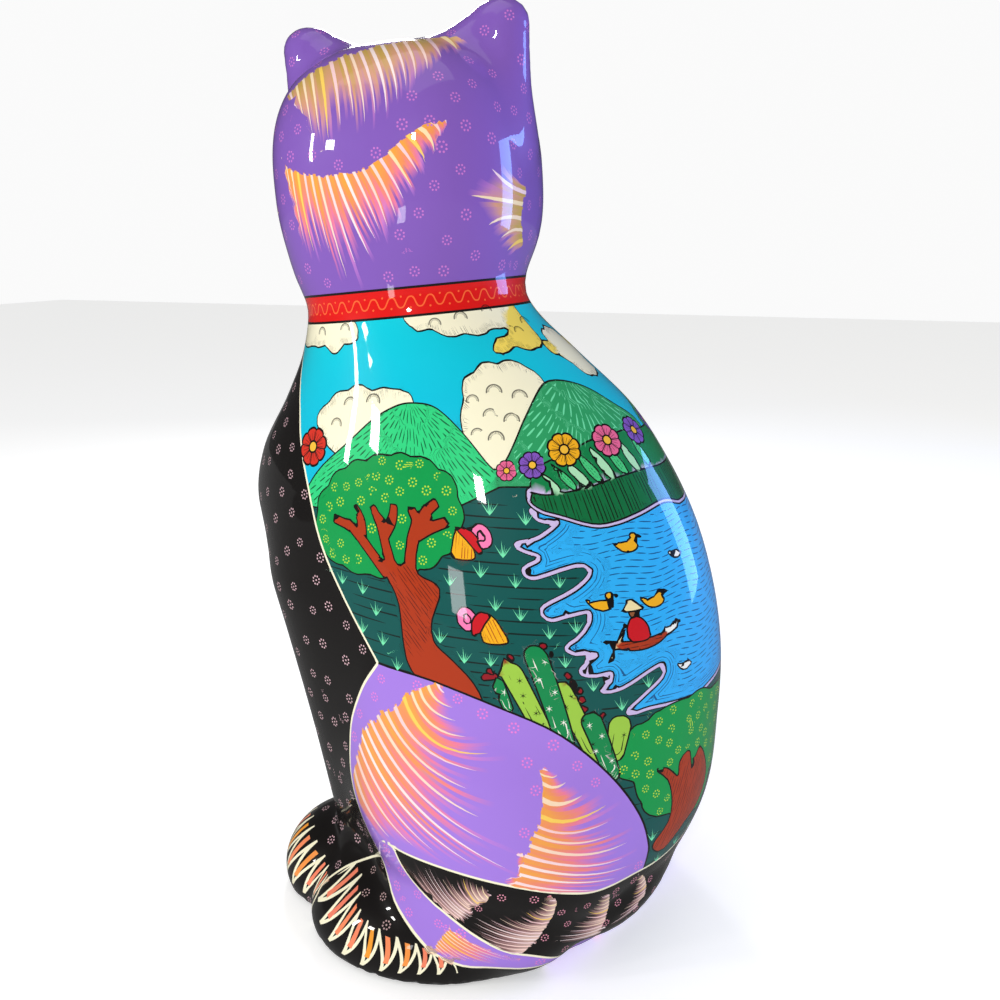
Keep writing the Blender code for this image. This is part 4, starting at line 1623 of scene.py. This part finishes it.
def free_parts(paint, regions, band):
    """For each part of the cat, the corners where a motif may be."""
    leg, front, tail_edge, paw = regions.T
    collar = band[:, 1]
    far_from = {name: rows[:, 3] for name, rows in paint.layers.items()}
    below = collar < BELOW_COLLAR
    plain = paint.fan[:, 2] < NO_FAN
    off_tail = tail_edge > CLEAR
    scene_part = (leg > SCENE_CLEAR) & (front > SCENE_CLEAR) & (tail_edge > SCENE_CLEAR) & below
    land = scene_part & (far_from["land"] < -CLEAR)
    for name, clear in (("water", WATER_CLEAR), ("near", WATER_CLEAR), ("props", THING_CLEAR),
                        ("details", THING_CLEAR)):
        land &= far_from[name] > clear
    crown = scene_part & (far_from["near"] < -CROWN_CLEAR) & (far_from["props"] > CROWN_CLEAR)
    crown &= (paint.layers["near"][:, :3] == LEAF_GREEN).all(1)
    on_head = (collar > COLLAR_HALF + CLEAR) & plain
    for name in FACE_LAYERS:
        on_head &= far_from[name] > CLEAR
    above = paint.points[:, 2] > FOOT_LEVEL
    return {
        "land": land,
        "crown": crown,
        "head": on_head,
        "thigh": (leg < -CLEAR) & (front > CLEAR) & (paw > CLEAR) & off_tail & plain & below,
        "chest": (front < -CHEST_CLEAR) & (paw > CLEAR) & off_tail & below & plain & above,
        "paws": (paw < -CLEAR) & off_tail & plain & (paint.points[:, 2] > PAW_LEVEL),
        "tail": (tail_edge < -CLEAR) & plain & above,
    }


def scatter_motifs(paint, regions, band, random):
    add_face_spots(paint)
    add_picture_motifs(paint)
    for name, usable in free_parts(paint, regions, band).items():
        scatter(paint, usable, *SCATTERED[name], random)


def facing_camera(points, normals):
    sight = camera_axes()[0] - points
    sight /= np.linalg.norm(sight, axis=1)[:, None]
    return (normals * sight).sum(1)


def folded_pixels(points, normals, side):
    """Pixels of the points on the side that the camera sees, or folded over to it."""
    fold = np.array([side, 1, 1])
    return pixels_of(points * fold), facing_camera(points * fold, normals * fold)


def mirrored_head(points, normals):
    """The head's points and normals mirrored from one cheek to the other."""
    flip = np.array([1, -1, 1])
    neck = np.array([HEAD_PLACE[0], HEAD_PLACE[1], NECK_MIDDLE], float)
    result = []
    for values, origin in ((points, neck), (normals, 0)):
        turned_values = turned(turned(values - origin, "z", -HEAD_TURN), "x", HEAD_LEAN) * flip
        result.append(turned(turned(turned_values, "x", -HEAD_LEAN), "z", HEAD_TURN) + origin)
    return result


# How sharply a fan ends where the surface turns from the camera, and how far from the collar the
# fans of the thigh and of the tail and paws keep.
EDGE_SHARPNESS = 30
PAST_MIDDLE = 4
THIGH_DROP = 20
LOW_DROP = 100
RANDOM_SEED = 11


def add_fans(paint, regions, band):
    leg, front, tail_edge, paw = regions.T
    collar = band[:, 1]
    half = paint.points[:, 0]
    for side in (1, -1):
        pixels, facing = folded_pixels(paint.points, paint.normals, side)
        lit = np.minimum(facing * EDGE_SHARPNESS, half * side + PAST_MIDDLE)
        on_leg = np.minimum.reduce([-leg, front, paw, tail_edge, -THIGH_DROP - collar, lit])
        for rows in (THIGH_FAN, HIP_FAN, HEEL_FAN):
            add_fan(paint, rows, WARM, pixels, on_leg)
        on_tail = np.minimum.reduce([-tail_edge, lit, -LOW_DROP - collar])
        for rows in TAIL_FANS:
            add_fan(paint, rows, PALE, pixels, on_tail)
    low = np.minimum(-LOW_DROP - collar, tail_edge)
    add_fan(paint, HIND_TEETH, TEETH, paint.places, np.minimum(low, -paw))
    add_fan(paint, FRONT_TEETH, TEETH, paint.places, np.minimum.reduce([low, -front, paw]))
    on_head = collar - COLLAR_HALF
    facing = facing_camera(paint.points, paint.normals) * EDGE_SHARPNESS
    pixels = pixels_of(paint.points)
    for rows, kind in ((CROWN_FAN, GOLDEN), (NAPE_FAN, WARM)):
        add_fan(paint, rows, kind, pixels, np.minimum(on_head, facing))
    for points, normals in ((paint.points, paint.normals), mirrored_head(paint.points, paint.normals)):
        facing = facing_camera(points, normals) * EDGE_SHARPNESS
        add_fan(paint, CHEEK_FAN, GOLDEN, pixels_of(points), np.minimum(on_head, facing))
    head_points = in_head(paint.points)
    places = np.stack([np.abs(head_points[:, 1]), head_points[:, 2]], axis=1)
    for rows, kind in FACE_FANS:
        add_fan(paint, rows, kind, places, np.minimum(on_head, head_points[:, 0] - FACE_START))


def store(mesh, name, values):
    kind = {1: "FLOAT", 3: "FLOAT_VECTOR", 4: "FLOAT_COLOR"}[values.shape[1]]
    attribute = mesh.attributes.new(name, kind, "POINT")
    field = {"FLOAT": "value", "FLOAT_VECTOR": "vector", "FLOAT_COLOR": "color"}[kind]
    attribute.data.foreach_set(field, values.astype(np.float32).ravel())


def paint_cat(glazed):
    mesh = glazed.data
    count = len(mesh.vertices)
    points = np.empty(count * 3)
    mesh.vertices.foreach_get("co", points)
    points = points.reshape(-1, 3) / MM
    normals = slope_of(cat, points)
    normals /= np.linalg.norm(normals, axis=1)[:, None]
    tree = BVHTree.FromPolygons([vert.co for vert in mesh.vertices],
                                [tuple(face.vertices) for face in mesh.polygons])
    paint = Paint(points, normals, tree)
    paint_picture(paint)
    paint_face(paint)
    regions, band = region_values(paint)
    add_fans(paint, regions, band)
    scatter_motifs(paint, regions, band, np.random.default_rng(RANDOM_SEED))
    for name, values in paint.layers.items():
        store(mesh, name, values)
    place, look = motif_values(paint)
    for name, values in (("strokes", paint.strokes), ("ink", paint.ink), ("fan", paint.fan),
                         ("regions", regions), ("band", band), ("motif", place), ("motif_look", look)):
        store(mesh, name, values)
    mesh.normals_split_custom_set_from_vertices(normals)


def add_cat():
    mesh = fine_surface(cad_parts["ceramic_cat"])
    mesh.shade_smooth()
    glazed = bpy.data.objects.new("glazed_cat", mesh)
    bpy.context.scene.collection.objects.link(glazed)
    paint_cat(glazed)
    mesh.materials.append(glaze_material())
    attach(glazed, "root")
    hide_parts("ceramic_cat")
    print("triangles", len(mesh.polygons), "corners", len(mesh.vertices))


FLOOR_SIZE = 4
FLOOR_GREY = (0.86, 0.86, 0.85)
FLOOR_GLOW = 0.4
FLOOR_ROUGHNESS = 0.6
# How bright the floor and the room look in the glaze, which shows them as a darker room.
FLOOR_IN_GLOSS = 0.16
ROOM_IN_GLOSS = 0.05


def add_floor():
    mesh = bpy.data.meshes.new("floor")
    bm = bmesh.new()
    bmesh.ops.create_grid(bm, x_segments=1, y_segments=1, size=FLOOR_SIZE)
    bm.to_mesh(mesh)
    bm.free()
    floor = bpy.data.objects.new("floor", mesh)
    material = bpy.data.materials.new("pale_floor")
    material.use_nodes = True
    shader = material.node_tree.nodes["Principled BSDF"]
    shader.inputs["Base Color"].default_value = (*FLOOR_GREY, 1)
    shader.inputs["Emission Color"].default_value = (1, 1, 1, 1)
    shader.inputs["Emission Strength"].default_value = FLOOR_GLOW
    shader.inputs["Roughness"].default_value = FLOOR_ROUGHNESS
    tree = material.node_tree
    rays = tree.nodes.new("ShaderNodeLightPath")
    mix = tree.nodes.new("ShaderNodeMixShader")
    dim = tree.nodes.new("ShaderNodeEmission")
    dim.inputs["Strength"].default_value = FLOOR_IN_GLOSS
    tree.links.new(rays.outputs["Is Glossy Ray"], mix.inputs[0])
    tree.links.new(shader.outputs[0], mix.inputs[1])
    tree.links.new(dim.outputs[0], mix.inputs[2])
    tree.links.new(mix.outputs[0], tree.nodes["Material Output"].inputs["Surface"])
    mesh.materials.append(material)
    bpy.context.scene.collection.objects.link(floor)


# Lamps: place, what they light, size, power in watts and tint.
LAMPS = {
    "key": ((1.14, 0.19, 0.72), (0.066, 0.016, 0.215), (0.07, 0.09), 2.2, (1, 0.98, 0.94)),
    "tall_window": ((0.78, -0.96, 0.60), (0.04, -0.08, 0.26), (0.055, 0.26), 2.2, (1, 1, 1)),
    "strip": ((0.62, -0.04, 0.21), (0.05, -0.024, 0.30), (0.06, 0.09), 0.12, (1, 1, 1)),
    "low_lamp": ((0.78, -0.60, 0.56), (0.05, -0.08, 0.02), (0.08, 0.08), 0.9, (1, 0.97, 0.92)),
    "blue_window": ((-0.75, 0.95, 0.36), (0, 0, 0.2), (0.35, 0.6), 6, (0.2, 0.4, 1)),
    "face_window": ((-0.95, -0.55, 0.75), (0, -0.04, 0.3), (0.12, 0.35), 3, (1, 1, 1)),
    "overhead": ((0.2, -0.1, 1.6), (0, 0, 0.1), (1.2, 1.2), 3, (1, 1, 1)),
}
ROOM_BRIGHTNESS = 0.6
BACKDROP = 0.96


def add_lights():
    """Lamps that the camera doesn't see, in a pale room that shows little in the glaze."""
    for name, (place, target, size, power, tint) in LAMPS.items():
        data = bpy.data.lights.new(name, "AREA")
        data.shape = "RECTANGLE"
        data.size, data.size_y = size
        data.energy = power
        data.color = tint
        lamp = bpy.data.objects.new(name, data)
        lamp.location = place
        aim = Vector(target) - Vector(place)
        lamp.rotation_euler = aim.to_track_quat("-Z", "Y").to_euler()
        lamp.visible_camera = False
        bpy.context.scene.collection.objects.link(lamp)
    world = bpy.data.worlds.new("studio")
    world.use_nodes = True
    tree = world.node_tree
    rays = tree.nodes.new("ShaderNodeLightPath")
    glossy, camera = (Wire(tree, rays.outputs[name]) for name in ("Is Glossy Ray", "Is Camera Ray"))
    strength = (glossy * (ROOM_IN_GLOSS - ROOM_BRIGHTNESS) + ROOM_BRIGHTNESS
                + camera * (BACKDROP - ROOM_BRIGHTNESS))
    background = tree.nodes["Background"]
    background.inputs["Color"].default_value = (1, 1, 1, 1)
    tree.links.new(strength.socket, background.inputs["Strength"])
    bpy.context.scene.world = world
    bpy.context.scene.view_settings.view_transform = "Standard"


add_camera()
add_cat()
add_floor()
add_lights()
